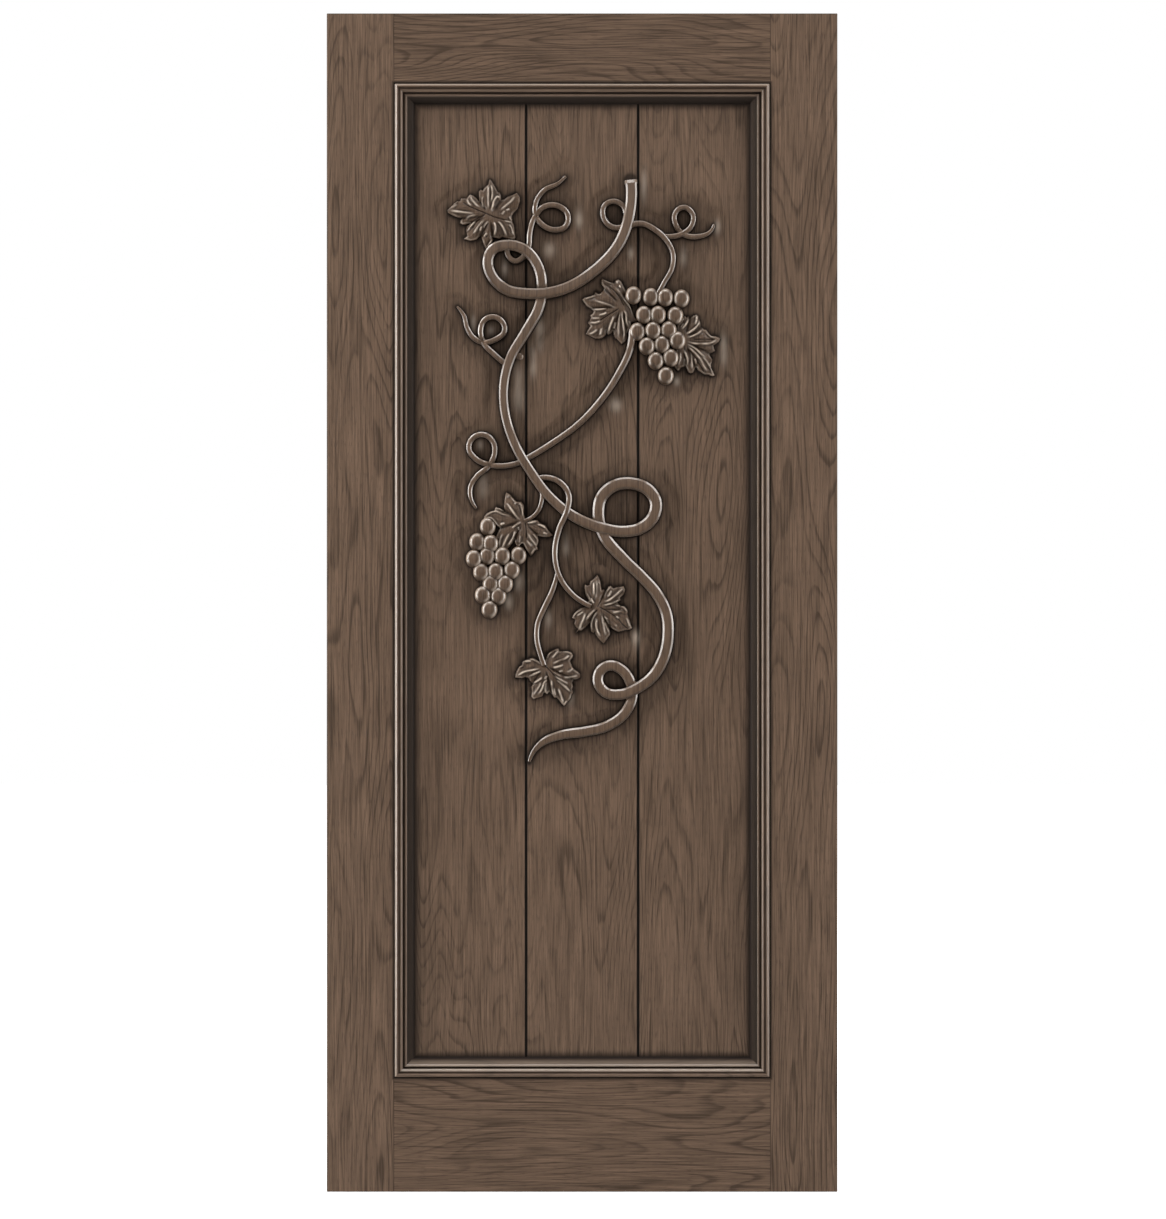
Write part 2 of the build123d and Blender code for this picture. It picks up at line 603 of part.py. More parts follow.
# Tendrils
with BuildPart() as nub:
    with Locations(CARVING):
        with Locations(grid(NUB_CENTRE)):
            Cylinder(NUB_RADIUS, TENDRIL_HEIGHT, align=(Align.CENTER, Align.CENTER, Align.MIN))
    chamfer(nub.faces().sort_by(Axis.Y)[0].edges(), TENDRIL_SHOULDER)
carve("tendril_top", curl(TENDRIL_TOP), over=[vine_middle.cover])
carve("tendril_ring", [raised_strand(tendril_ring, TENDRIL_HEIGHT, TENDRIL_SHOULDER)], over=[vine_top.cover])
carve("tendril_right", curl(TENDRIL_RIGHT), over=[bunch_stalk.cover])
carve("tendril_left", [*curl(TENDRIL_LEFT), nub.part], over=[vine_middle.cover])
carve("tendril_lower", curl(TENDRIL_LOWER), over=[vine_middle.cover])

# Bunches of grapes
carve("grapes_upper", [bunch(UPPER_GRAPES)])
carve("grapes_lower", [bunch(LOWER_GRAPES)], over=[bunch_leaf_cover])

# Leaves
LEAVES = {
    "leaf_top": (LEAF_TOP, [vine_middle.cover, vine_top.cover]),
    "leaf_bunch_left": (LEAF_LEFT_OF_BUNCH, [upper_grapes_cover]),
    "leaf_bunch_right": (LEAF_RIGHT_OF_BUNCH, [upper_grapes_cover]),
    "leaf_over_bunch": (LEAF_OVER_BUNCH, [leaf_stalk.cover]),
    "leaf_middle": (LEAF_MIDDLE, [middle_stalk.cover]),
    "leaf_bottom": (LEAF_BOTTOM, [bottom_stalk.cover]),
}
for label, (leaf, over) in LEAVES.items():
    carve(label, [leaf_solid(leaf)], over=over)
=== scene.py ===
from dataclasses import dataclass
from math import pi, radians

import bmesh
import bpy
import numpy as np
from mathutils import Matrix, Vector


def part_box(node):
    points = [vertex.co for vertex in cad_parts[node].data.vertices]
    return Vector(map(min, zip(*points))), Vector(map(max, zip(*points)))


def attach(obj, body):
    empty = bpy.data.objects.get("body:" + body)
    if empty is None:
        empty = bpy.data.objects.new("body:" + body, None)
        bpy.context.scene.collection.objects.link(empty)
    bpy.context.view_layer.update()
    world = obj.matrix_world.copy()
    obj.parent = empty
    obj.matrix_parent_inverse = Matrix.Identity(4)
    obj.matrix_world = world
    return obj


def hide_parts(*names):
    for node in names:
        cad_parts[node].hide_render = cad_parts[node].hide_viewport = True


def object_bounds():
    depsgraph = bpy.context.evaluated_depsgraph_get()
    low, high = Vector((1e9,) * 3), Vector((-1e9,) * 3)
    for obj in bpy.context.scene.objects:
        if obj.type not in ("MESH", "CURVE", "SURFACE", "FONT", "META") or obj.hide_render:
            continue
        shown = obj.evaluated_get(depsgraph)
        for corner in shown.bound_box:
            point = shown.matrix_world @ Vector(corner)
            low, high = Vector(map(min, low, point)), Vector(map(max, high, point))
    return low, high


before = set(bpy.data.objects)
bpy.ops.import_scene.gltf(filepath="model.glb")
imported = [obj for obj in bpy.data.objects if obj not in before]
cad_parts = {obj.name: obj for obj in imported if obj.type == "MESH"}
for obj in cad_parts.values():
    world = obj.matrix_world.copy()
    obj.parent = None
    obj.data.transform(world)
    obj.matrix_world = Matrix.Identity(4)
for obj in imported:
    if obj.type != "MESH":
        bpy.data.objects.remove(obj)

# Finish of a wine cellar door: boards, mouldings and a carved grapevine, all in one stained and glazed wood.
# Shade and highlights are painted into its colour: dark in creases and round the carving, pale on high edges.
# Metres. X runs across the door from the hinge edge, Y into it from the carved front, Z up.

CAD_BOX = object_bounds()
MM = 0.001

# Places read from the construction
DOOR_RIGHT = CAD_BOX[1].x
DOOR_TOP = CAD_BOX[1].z
FRONT_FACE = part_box("hinge_stile")[0].y
PLANK_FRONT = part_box("vine_top")[1].y
PLANK_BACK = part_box("plank_left")[1].y
PLANK_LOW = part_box("plank_left")[0].z
PLANK_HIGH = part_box("plank_left")[1].z
PLANK_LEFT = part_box("plank_left")[0].x
PLANK_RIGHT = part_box("plank_right")[1].x
LEFT_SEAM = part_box("plank_centre")[0].x
RIGHT_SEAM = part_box("plank_right")[0].x
OPENING_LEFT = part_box("front_moulding_left")[0].x
OPENING_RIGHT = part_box("front_moulding_right")[1].x
OPENING_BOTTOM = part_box("front_moulding_bottom")[0].z
OPENING_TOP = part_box("front_moulding_top")[1].z
PANEL_MIDDLE = (OPENING_LEFT + OPENING_RIGHT) / 2
CUT_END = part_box("vine_top")[1].z

# Meshes: places nearer than these are one place
SAME_PLACE = MM / 100
WELD_DISTANCE = MM / 1000

# Boards
SEAM_CHAMFER = 2.7 * MM
GRID_PITCH = 2.0 * MM
PLAIN_PITCH = 12.0 * MM
CARVED_MARGIN = 90.0 * MM

# Moulding section: widths run inward from the opening's edge, heights from the frame's face
MOULDING_WIDTH = 36.0 * MM
MOULDING_CREASE = 1.6 * MM
BEAD_WIDTH = 6.4 * MM
BEAD_RISE = 3.49 * MM
HOLLOW_WIDTH = 3.0 * MM
HOLLOW_DEPTH = 0.7 * MM
STEP_WIDTH = 5.0 * MM
STEP_DROP = 5.0 * MM
STEP_SAG = 1.0 * MM
QUIRK_WIDTH = 2.8 * MM
QUIRK_DEPTH = 2.0 * MM
SMALL_BEAD_WIDTH = 4.7 * MM
SMALL_BEAD_RISE = 2.3 * MM
COVE_SAG = 3.0 * MM
MOULDING_TOE = 0.9 * MM
BEVEL_SLOPE = 0.78

# Carved ground: it sinks towards the carving, and its outer flank is cut unevenly
GROUND_SINK = 3.2 * MM
GOUGE_DEPTH = 0.22 * MM
FLANK_NEAR = 12.0 * MM
FLANK_FAR = 30.0 * MM
FLANK_WANDER = 7.0 * MM
GROUND_END = (50.0 * MM, 75.0 * MM)
GOUGE_END = (20.0 * MM, 50.0 * MM)
CARVED_SKIRT = 6.0 * MM

# Lines of dark colour, as half widths: painted shade along the arrises and round the opening, dark glaze in the
# joints, the seams and the seams' hairline across the carving
ARRIS_LINE = 2.2 * MM
JOINT_LINE = 1.5 * MM
SEAM_LINE = 4.0 * MM
HAIRLINE = 1.0 * MM
BORDER_LINE = 5.5 * MM

# Painted shade on the planks: it fades in before the moulding, and out beside the carving by (strength, reach)
BORDER_FADE = (-15.0 * MM, 3.0 * MM)
PAINTED_CARVING_SHADE = [(0.52, 3.6 * MM), (0.22, 9.0 * MM), (0.2, 28.0 * MM)]

# Depth of the grain where it is left open and where it is polished
OPEN_GRAIN = 0.22 * MM
FINE_GRAIN = 0.08 * MM

# Carving, in millimetres
VINE_HEIGHT = 16.0
BRANCH_HEIGHT = 13.0
STALK_HEIGHT = 14.0
BOTTOM_STALK_HEIGHT = 12.0
TENDRIL_HEIGHT = 11.0
CUT_BEVEL = 6
CUT_BEVEL_SLOPE = 0.72
GRAPE_ACROSS = 14.6
GRAPE_UPRIGHT = 16.6
GRAPE_FRONT = 10.2
GRAPE_BACK = 14.0
GRAPE_CENTRE = 9.0
GRAPE_UNEVEN = 1.6
COVERED_DROP = 5.5
COVERED_NEAR = 30
COVERED_FAR = 75
NUB_CENTRE = (-112, -317)
NUB_RADIUS = 7.0
NUB_RISE = 4
# A low fillet along the carving's feet, which carries painted contact shade
FILLET = 1.1
FILLET_HEIGHT = 0.25

# Leaf relief, in millimetres
LEAF_PITCH = 1.5
LEAF_EDGE = 6.2
LEAF_PILLOW = 4.6
LEAF_WANDER = 1.2
VALLEY_WIDTH = 3.0
VALLEY_DEPTH = 3.6
RIDGE_REACH = 1.9
CUT_WIDTH = 1.2
CUT_DEPTH = 1.8
VEINS_ROUND = 44
VEIN_DEPTH = 0.45

# Lines of the carving: across and up in turn, in millimetres from the vine's cut end, on the panel's centre line
VINE_TOP = [87, 0, 86, -54, 65, -116, 24, -161, -38, -197, -92, -204, -140, -194, -164, -168, -169, -147]
VINE_MIDDLE = [
    -169, -147, -162, -127, -134, -117, -103, -125, -79, -155, -72, -188, -77, -227, -101, -272, -128, -318,
    -140, -365, -139, -412, -123, -468, -92, -523, -59, -567, -18, -601, 37, -624, 73, -630, 107, -623,
    127, -604, 132, -578,
]
VINE_LOWER = [
    132, -578, 119, -556, 91, -544, 58, -548, 35, -568, 29, -596, 37, -632, 76, -681, 108, -712, 134, -742,
    150, -774, 154, -813, 146, -856, 127, -889, 100, -910, 69, -922, 40, -917, 28, -894,
]
VINE_TAIL = [
    28, -894, 35, -877, 52, -870, 71, -878, 86, -899, 90, -925, 76, -956, 44, -979, 3, -989, -38, -995,
    -72, -1009, -90, -1030, -95, -1044,
]
BRANCH = [90, -268, 86, -301, 64, -349, 33, -395, -3, -434, -56, -473, -99, -499]
BUNCH_STALK = [82, -84, 106, -78, 129, -88, 151, -108, 163, -133, 161, -158, 147, -184, 136, -204]
LEAF_STALK = [-73, -548, -72, -573, -81, -596, -104, -611]
MIDDLE_STALK = [
    -79, -535, -58, -534, -37, -544, -24, -565, -26, -589, -41, -625, -49, -666, -42, -707, -20, -740, 16, -764,
]
BOTTOM_STALK = [-44, -705, -55, -740, -69, -769, -80, -797, -81, -825, -75, -850, -68, -870]
TENDRIL_RING = [78, -59, 70, -43, 55, -38, 40, -46, 37, -61, 44, -77, 58, -85, 76, -82]
TENDRIL_TOP = [
    -134, -122, -130, -139, -119, -145, -107, -139, -96, -120, -94, -97, -86, -68, -69, -48, -44, -46, -26, -62,
    -29, -82, -50, -89, -70, -81, -84, -60, -83, -41, -69, -19, -42, -5, -29, 8,
]
TENDRIL_RIGHT = [
    148, -101, 162, -101, 180, -96, 196, -82, 198, -61, 180, -49, 166, -62, 170, -84, 186, -99, 209, -101,
    230, -92, 237, -78,
]
TENDRIL_LEFT = [
    -139, -328, -159, -311, -176, -293, -182, -270, -175, -251, -161, -245, -144, -253, -139, -270, -156, -286,
    -173, -291, -194, -283, -206, -265, -212, -243, -225, -226,
]
TENDRIL_LOWER = [
    -103, -502, -130, -511, -162, -511, -189, -501, -203, -480, -193, -460, -174, -457, -159, -471, -157, -490,
    -169, -514, -188, -530, -200, -550, -198, -575, -189, -589,
]
UPPER_GRAPES = [
    92, -207, 123, -210, 149, -211, 178, -213, 111, -242, 136, -242, 167, -243, 99, -272, 127, -270, 155, -269,
    116, -298, 143, -295, 171, -288, 132, -324, 159, -319, 150, -351,
]
LOWER_GRAPES = [
    -169, -621, -188, -649, -164, -652, -194, -679, -170, -674, -143, -674, -114, -673, -181, -703, -155, -702,
    -126, -699, -164, -724, -138, -724, -178, -744, -150, -746, -166, -770,
]


@dataclass
class Leaf:
    """A carved leaf: its outline clockwise, the notches between its lobes, its crests and its cuts.

    They are across and up in turn from its hub. It is lifted off the planks where it lies over a bunch.
    """

    hub: tuple
    outline: list
    notches: list
    ridges: list
    sharp_ridges: list
    furrows: list
    seed: int
    lift: float = 0


LEAVES = {
    "leaf_top": Leaf(
        hub=(-164, -65),
        outline=[
            -78, 11, -68, 20, -60, 27, -55, 27, -53, 32, -43, 32, -40, 36, -37, 39, -31, 37, -25, 32, -21, 28,
            -21, 35, -21, 44, -18, 48, -14, 46, -11, 51, -4, 57, -2, 65, -1, 67, 2, 63, 8, 53, 13, 43, 15, 44,
            18, 39, 19, 30, 24, 30, 30, 35, 39, 38, 43, 40, 47, 42, 52, 35, 53, 27, 50, 19, 47, 12, 41, 6,
            38, 1, 39, -10, 42, -17, 43, -26, 45, -37, 42, -42, 31, -40, 28, -39, 21, -37, 16, -40, 4, -38,
            4, -43, 0, -50, -8, -59, -12, -51, -15, -42, -17, -35, -20, -36, -26, -42, -36, -44, -43, -42,
            -48, -40, -45, -38, -42, -35, -43, -29, -44, -24, -42, -17, -38, -13, -44, -14, -50, -15, -55, -12,
            -53, -6, -51, -3, -59, -2, -68, 2, -76, 6,
        ],
        notches=[-21, 28, 19, 30, 4, -38, -17, -35, -38, -13, -51, -3],
        ridges=[
            (-45, -7, -36, 0, -26, 1), (-31, -33, -26, -25, -19, -15, -10, -6), (-13, -23, -9, -15, -3, -9),
            (41, -35, 38, -23, 33, -14), (39, -10, 24, -9), (33, 0, 38, -9), (20, 2, 25, 10), (28, 10, 34, 13),
            (17, 8, 26, 18, 38, 28, 44, 38), (-3, 10, -4, 29, -4, 47, -4, 56), (-11, 14, -15, 24, -13, 36),
            (-18, 15, -27, 22, -34, 31, -36, 36), (-33, 18, -40, 25, -41, 32), (-69, 15, -60, 21),
            (-68, 21, -59, 28),
        ],
        sharp_ridges=[
            (-75, 10, -57, 8, -43, 6, -28, 4), (-41, -27, -34, -16, -27, -9), (-19, -27, -16, -18),
            (-12, -37, -6, -30), (-6, -57, 3, -42), (5, -36, 9, -23, 6, -10),
            (29, -39, 25, -26, 18, -14, 13, -9), (1, 5, 4, 18, 7, 29, 13, 35, 17, 31),
            (0, 22, 3, 36, 3, 47, 0, 58),
        ],
        furrows=[
            (-48, 24, -26, 12, -9, 5, 2, 0, 18, -5, 38, -10), (-10, 4, -23, -8, -32, -21),
            (-38, -13, -25, -5, -12, 1),
        ],
        seed=11,
    ),
    "leaf_bunch_left": Leaf(
        hub=(71, -226),
        outline=[
            -36, 50, -30, 47, -23, 43, -14, 41, -11, 46, -6, 48, -1, 44, 3, 36, 8, 26, 7, 20, 16, -3, 24, -21,
            28, -27, 17, -29, 17, -38, 13, -42, 9, -50, 10, -55, 7, -63, 0, -68, -5, -63, -9, -58, -10, -59,
            -14, -52, -16, -45, -20, -49, -25, -51, -28, -44, -29, -51, -33, -56, -39, -58, -48, -58, -57, -53,
            -64, -50, -62, -45, -56, -36, -59, -32, -61, -30, -57, -26, -55, -20, -57, -17, -52, -13, -50, -9,
            -56, -4, -63, 0, -68, 7, -71, 12, -67, 15, -59, 17, -50, 20, -48, 25, -42, 22, -38, 23, -33, 28,
            -32, 33, -36, 39, -37, 45,
        ],
        notches=[7, 20, 9, -50, -16, -45, -56, -4, -32, 33],
        ridges=[
            (-31, 47, -24, 43, -14, 42), (-9, 46, -8, 40), (-13, 34, -2, 22, 7, 9, 16, -3, 23, -19),
            (-68, 12, -56, 16, -47, 19), (-52, 10, -36, 6, -22, 1, -9, -4), (-54, -22, -39, -22),
            (-5, -60, -6, -42, -5, -25, -2, -10), (17, -35, 12, -26),
        ],
        sharp_ridges=[
            (-4, 38, -2, 32), (-52, -5, -38, -6, -26, -4), (-41, -16, -34, -15, -27, -11),
            (-57, -28, -47, -30, -38, -26), (-58, -50, -52, -48, -44, -41), (-39, -53, -36, -39),
            (-24, -48, -22, -39, -17, -26, -13, -17), (-14, -41, -11, -28),
            (2, -64, 5, -50, 3, -34, 1, -17, 2, -8), (14, -39, 8, -26, 8, -16, 4, -7),
        ],
        furrows=[(-31, 40, -18, 31, -5, 17, 3, 2), (-38, -25, -22, -15, -7, -6)],
        seed=12,
    ),
    "leaf_bunch_right": Leaf(
        hub=(183, -288),
        outline=[
            -13, 27, 1, 45, 4, 41, 7, 44, 10, 40, 15, 44, 21, 47, 25, 45, 27, 38, 29, 32, 30, 25, 33, 23,
            36, 20, 39, 20, 45, 12, 49, 8, 56, 8, 62, 6, 65, 3, 62, -2, 56, -6, 52, -9, 53, -14, 55, -18,
            52, -20, 46, -23, 46, -27, 50, -33, 50, -38, 48, -43, 48, -49, 52, -56, 55, -63, 50, -64, 44, -61,
            37, -61, 31, -57, 26, -54, 21, -48, 19, -51, 16, -57, 12, -59, 8, -57, 5, -52, 2, -45, -1, -47,
            -6, -48, -9, -53, -12, -54, -16, -49, -21, -38, -14, -16,
        ],
        notches=[10, 40, 30, 25, 46, -23, 21, -48, 2, -45],
        ridges=[
            (-11, 28, -6, 33, -1, 41), (-7, 23, -1, 31), (39, 17, 45, 9, 56, 6),
            (4, -7, 11, -9, 22, -16, 29, -23, 40, -32), (53, -9, 54, -16),
            (6, -10, 17, -20, 29, -34, 36, -47, 43, -57), (31, -27, 45, -45, 53, -62),
            (11, -20, 14, -38, 14, -52), (-8, -20, -7, -31, -11, -45), (1, -31, 0, -45),
        ],
        sharp_ridges=[
            (-6, 20, 2, 28, 8, 41), (22, 45, 22, 36, 17, 27), (1, 11, 13, 17, 22, 25, 28, 37),
            (4, 5, 17, 9, 26, 14, 32, 21), (4, -2, 15, -5, 35, -6, 49, -4, 60, 4),
            (-2, -15, 3, -25, 6, -36, 4, -46), (19, -32, 22, -43),
        ],
        furrows=[(8, -16, 19, -29, 28, -43, 35, -54), (17, 2, 54, 2)],
        seed=13,
    ),
    "leaf_over_bunch": Leaf(
        hub=(-106, -611),
        outline=[
            -30, 51, -24, 48, -19, 42, -14, 36, -11, 34, -3, 34, 1, 29, 2, 23, 1, 15, 4, 4, 10, 1, 19, 2, 26, 1,
            29, -3, 34, -6, 40, -8, 44, -15, 49, -21, 54, -26, 47, -29, 35, -29, 27, -27, 27, -31, 28, -36,
            27, -41, 25, -46, 27, -51, 21, -54, 18, -59, 14, -63, 10, -57, 5, -50, 1, -41, -3, -41, -8, -47,
            -12, -44, -16, -34, -19, -41, -28, -50, -39, -55, -43, -50, -45, -40, -44, -33, -50, -32, -47, -25,
            -44, -19, -42, -13, -47, -8, -51, -2, -56, 3, -62, 4, -70, 2, -70, 6, -68, 10, -64, 14, -57, 17,
            -51, 18, -50, 23, -48, 25, -41, 22, -32, 17, -34, 26, -33, 37, -32, 45,
        ],
        notches=[4, 4, 27, -27, -16, -34, -42, -13, -32, 17],
        ridges=[
            (-29, 41, -24, 47), (-15, 29, -12, 34), (-7, 32, -1, 26), (-5, 31, -2, 22, -1, 6),
            (-67, 8, -61, 13, -50, 17, -36, 12, -20, 8), (-45, 22, -33, 18),
            (-68, 2, -58, 5, -49, -3, -44, -11), (-42, -46, -41, -35, -35, -23), (-9, -10, -7, -17),
            (-14, -33, -11, -45), (-5, -26, -6, -41), (-7, -46, -3, -41), (9, -21, 13, -30, 21, -41, 25, -46),
            (18, -23, 27, -34), (7, -35, 16, -46), (14, -60, 18, -55, 21, -48),
        ],
        sharp_ridges=[
            (-30, 33, -22, 22, -14, 11, -5, 0), (-41, -7, -32, -4), (-3, -2, -13, -8, -20, -14),
            (-38, -52, -31, -35, -24, -22), (-14, -17, -16, -26, -22, -37, -29, -46), (7, -3, 16, -3, 25, 1),
            (25, -7, 35, -9, 41, -13), (36, -21, 44, -24),
        ],
        furrows=[(4, -5, 6, -17, 7, -30)],
        seed=14,
        lift=4.2,
    ),
    "leaf_middle": Leaf(
        hub=(28, -765),
        outline=[
            -23, 40, -19, 38, -15, 39, -13, 46, -7, 50, -3, 54, -1, 57, 2, 53, 5, 45, 6, 35, 7, 30, 11, 31,
            14, 27, 17, 31, 20, 36, 23, 38, 28, 33, 34, 35, 42, 36, 47, 37, 49, 31, 48, 24, 44, 20, 40, 16,
            41, 12, 36, 8, 38, 4, 41, 1, 47, 1, 52, -4, 54, -9, 53, -14, 55, -19, 58, -27, 60, -35, 63, -38,
            57, -41, 48, -42, 43, -44, 37, -45, 28, -41, 21, -36, 21, -40, 22, -45, 22, -50, 19, -54, 15, -60,
            11, -66, 5, -61, 0, -55, -4, -49, -5, -44, -7, -47, -11, -45, -13, -37, -14, -29, -17, -32,
            -22, -37, -30, -43, -34, -42, -39, -47, -35, -40, -39, -36, -42, -31, -40, -23, -46, -20, -44, -15,
            -39, -9, -30, -2, -22, 0, -16, 11, -21, 19, -23, 28, -24, 35,
        ],
        notches=[14, 27, 36, 8, 21, -36, -14, -29, -22, 0],
        ridges=[
            (-20, 28, -15, 15, -10, 6), (-1, 49, -2, 31, -3, 13), (1, 45, 4, 40), (12, 13, 16, 28, 21, 35),
            (18, 17, 25, 29), (29, 4, 36, 2, 45, 0, 51, -6, 53, -10), (33, -17, 38, -21),
            (51, -19, 55, -28, 57, -37), (32, -32, 35, -36), (11, -17, 18, -24), (16, -23, 20, -32),
            (7, -10, 9, -24, 12, -41, 14, -53), (12, -26, 16, -37, 21, -48), (-46, -19, -37, -10, -27, -4),
            (-38, -17, -25, -8),
        ],
        sharp_ridges=[
            (-12, 16, -7, 5), (-7, 45, -7, 31, -6, 19), (9, 8, 20, 12, 30, 19, 41, 29, 46, 34),
            (7, 1, 16, 4, 24, 6, 34, 10, 40, 13), (25, -10, 36, -9, 44, -7),
            (-1, -20, -3, -32, -1, -42, 6, -55), (0, -8, -7, -17, -11, -30, -9, -44),
            (-4, -4, -13, -13, -22, -25), (-21, -10, -26, -23, -31, -35, -32, -42),
        ],
        furrows=[
            (0, 1, 5, 10, 9, 19), (4, -1, 20, -10, 34, -19, 45, -32, 54, -39), (-2, -6, -14, -23),
            (7, -4, 25, -5, 41, -4),
        ],
        seed=15,
    ),
    "leaf_bottom": Leaf(
        hub=(-68, -869),
        outline=[
            -37, 7, -28, 10, -22, 12, -15, 10, -8, 5, -2, 2, 4, 13, 7, 20, 14, 25, 21, 28, 26, 29, 27, 24,
            33, 24, 42, 24, 48, 22, 52, 17, 50, 12, 46, 7, 48, 2, 51, -5, 56, -10, 61, -13, 65, -17, 65, -22,
            61, -25, 53, -27, 50, -32, 52, -39, 50, -44, 52, -50, 49, -54, 48, -60, 44, -65, 36, -74, 31, -69,
            25, -61, 23, -59, 18, -59, 14, -52, 9, -49, 5, -53, 1, -50, -1, -51, -3, -57, -11, -59, -19, -62,
            -23, -58, -22, -47, -23, -40, -20, -34, -26, -28, -27, -24, -29, -23, -34, -22, -39, -24, -52, -23,
            -51, -16, -48, -9, -45, -4, -40, -1, -39, 3, -40, 4,
        ],
        notches=[-2, 2, 53, -27, 14, -52, -20, -34],
        ridges=[
            (-22, 11, -12, 6, -4, 1), (0, -26, 6, -19), (-20, -56, -11, -42, -4, -31), (4, -52, 2, -40, 4, -31),
            (21, -56, 17, -40), (30, -33, 38, -40, 48, -49), (22, -26, 33, -35, 44, -44),
            (17, -19, 30, -27, 44, -35), (17, -13, 30, -21), (26, -13, 34, -10), (39, -12, 49, -9, 51, -5),
            (5, 10, 8, 18, 14, 23), (33, 22, 44, 23, 50, 17),
        ],
        sharp_ridges=[
            (-35, 6, -23, 7), (-45, -4, -37, -1), (-49, -22, -37, -13, -24, -10, -6, -7),
            (-28, -22, -17, -16, -4, -11), (-20, -33, -11, -28, -3, -22), (-13, -56, -4, -43, 1, -31, 6, -26),
            (17, -56, 14, -42, 13, -26), (25, -41, 30, -55, 35, -70), (35, -73, 41, -64),
            (34, -22, 48, -22, 61, -19), (15, -5, 26, -3, 35, 1), (14, 1, 26, 7, 39, 12, 45, 18),
            (14, 12, 20, 19, 25, 25),
        ],
        furrows=[(0, 0, 12, -12, 23, -24, 37, -39, 48, -46)],
        seed=16,
    ),
}

# Painted highlights: pale glossy spots on the ground beside the carving, (across, up, half width, half height)
PAINTED_GROUND_HIGHLIGHTS = [
    (-6, -68, 6, 18), (111, -12, 5, 26), (-88, -325, 6, 24), (-76, -276, 7, 24), (-114, -376, 8, 40),
    (182, -138, 6, 16), (254, -302, 6, 26), (60, -403, 9, 12), (-178, -550, 8, 18), (-60, -125, 9, 12),
    (170, -361, 5, 8), (-195, -258, 4, 14), (-183, -474, 5, 9), (-164, -269, 6, 8), (-139, -156, 5, 14),
    (87, -129, 5, 12), (-164, -752, 5, 12), (-112, -722, 7, 15), (-132, -756, 7, 13), (-61, -788, 6, 15),
    (-29, -654, 6, 16), (-20, -931, 6, 12), (96, -823, 6, 16), (243, -84, 5, 12),
]


# Meshes
def pairs(numbers):
    """Places from their numbers across and up in turn."""
    return np.array(numbers, float).reshape(-1, 2)


def smoothstep(low, high, value):
    """0 below low, 1 above high, and 3t^2 - 2t^3 between them."""
    t = np.clip((value - low) / (high - low), 0, 1)
    return t * t * (3 - 2 * t)


def bell(distance, reach):
    """exp(-(distance / reach)^2)."""
    return np.exp(-((distance / reach) ** 2))


def on_panel(across, up, out):
    """Places on the carving, in millimetres across, up and out from the planks, as points of the door."""
    across, up, out = np.broadcast_arrays(across, up, out)
    return np.stack([PANEL_MIDDLE + across * MM, PLANK_FRONT - out * MM, CUT_END + up * MM], -1)


def wrap_faces(rings, around):
    """Corner numbers of the quads between rings of points, where each ring closes on itself."""
    index = np.arange(rings * around).reshape(rings, around)
    following = np.roll(index, -1, axis=1)
    quads = np.stack([index[:-1], following[:-1], following[1:], index[1:]], -1)
    return quads.reshape(-1, 4)


def add_piece(node, kind, shells, material, sharp_angle=50):
    """Makes one mesh for a node, of closed shells: rings of points, and for each point a glaze with painted shade
    and a polish with painted highlight.

    A shell's first and last ring are closed by a face, or by a pole where the ring is a single place.
    """
    points = []
    faces = []
    coats = {"glaze_and_shade": [], "polish_and_highlight": []}
    count = 0
    for rings, *shade in shells:
        ring_count, around = rings.shape[:2]
        points.append(rings.reshape(-1, 3))
        for values, coat in zip(coats.values(), shade):
            values.append(np.broadcast_to(coat, (ring_count, around)).reshape(-1))
        faces += (wrap_faces(ring_count, around) + count).tolist()
        last = np.arange(around) + (ring_count - 1) * around
        for ring, corners in ((rings[0], np.arange(around)[::-1]), (rings[-1], last)):
            if np.ptp(ring, axis=0).max() > SAME_PLACE:
                faces.append((corners + count).tolist())
        count += ring_count * around
    mesh = bpy.data.meshes.new(f"{node}_{kind}")
    mesh.from_pydata(np.concatenate(points).tolist(), [], faces)
    for coat, values in coats.items():
        attribute = mesh.attributes.new(coat, "FLOAT", "POINT")
        attribute.data.foreach_set("value", np.concatenate(values).astype(np.float32))
    welded = bmesh.new()
    welded.from_mesh(mesh)
    bmesh.ops.remove_doubles(welded, verts=welded.verts, dist=WELD_DISTANCE)
    bmesh.ops.recalc_face_normals(welded, faces=welded.faces)
    welded.to_mesh(mesh)
    welded.free()
    mesh.shade_smooth()
    mesh.set_sharp_from_angle(angle=radians(sharp_angle))
    mesh.materials.append(material)
    piece = bpy.data.objects.new(f"{node}_{kind}", mesh)
    bpy.context.collection.objects.link(piece)
    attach(piece, "root")
    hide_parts(node)


def wander(first, second, wavelength, seed):
    """A smooth uneven field from -2 to 2: a third of the sum of six seeded cosine waves."""
    chance = np.random.default_rng(seed)
    total = 0
    for heading, phase, stretch in chance.uniform((0, 0, 0.7), (pi, 2 * pi, 1.5), (6, 3)):
        along = first * np.cos(heading) + second * np.sin(heading)
        total = total + np.cos(along * 2 * pi / (wavelength * stretch) + phase)
    return total / 3


# Materials
def operation(name, turned=False):
    """A method of Wire that adds a Math node for two values, which change places where it is turned."""

    def method(self, other):
        return self.math(name, *((other, self) if turned else (self, other)))

    return method


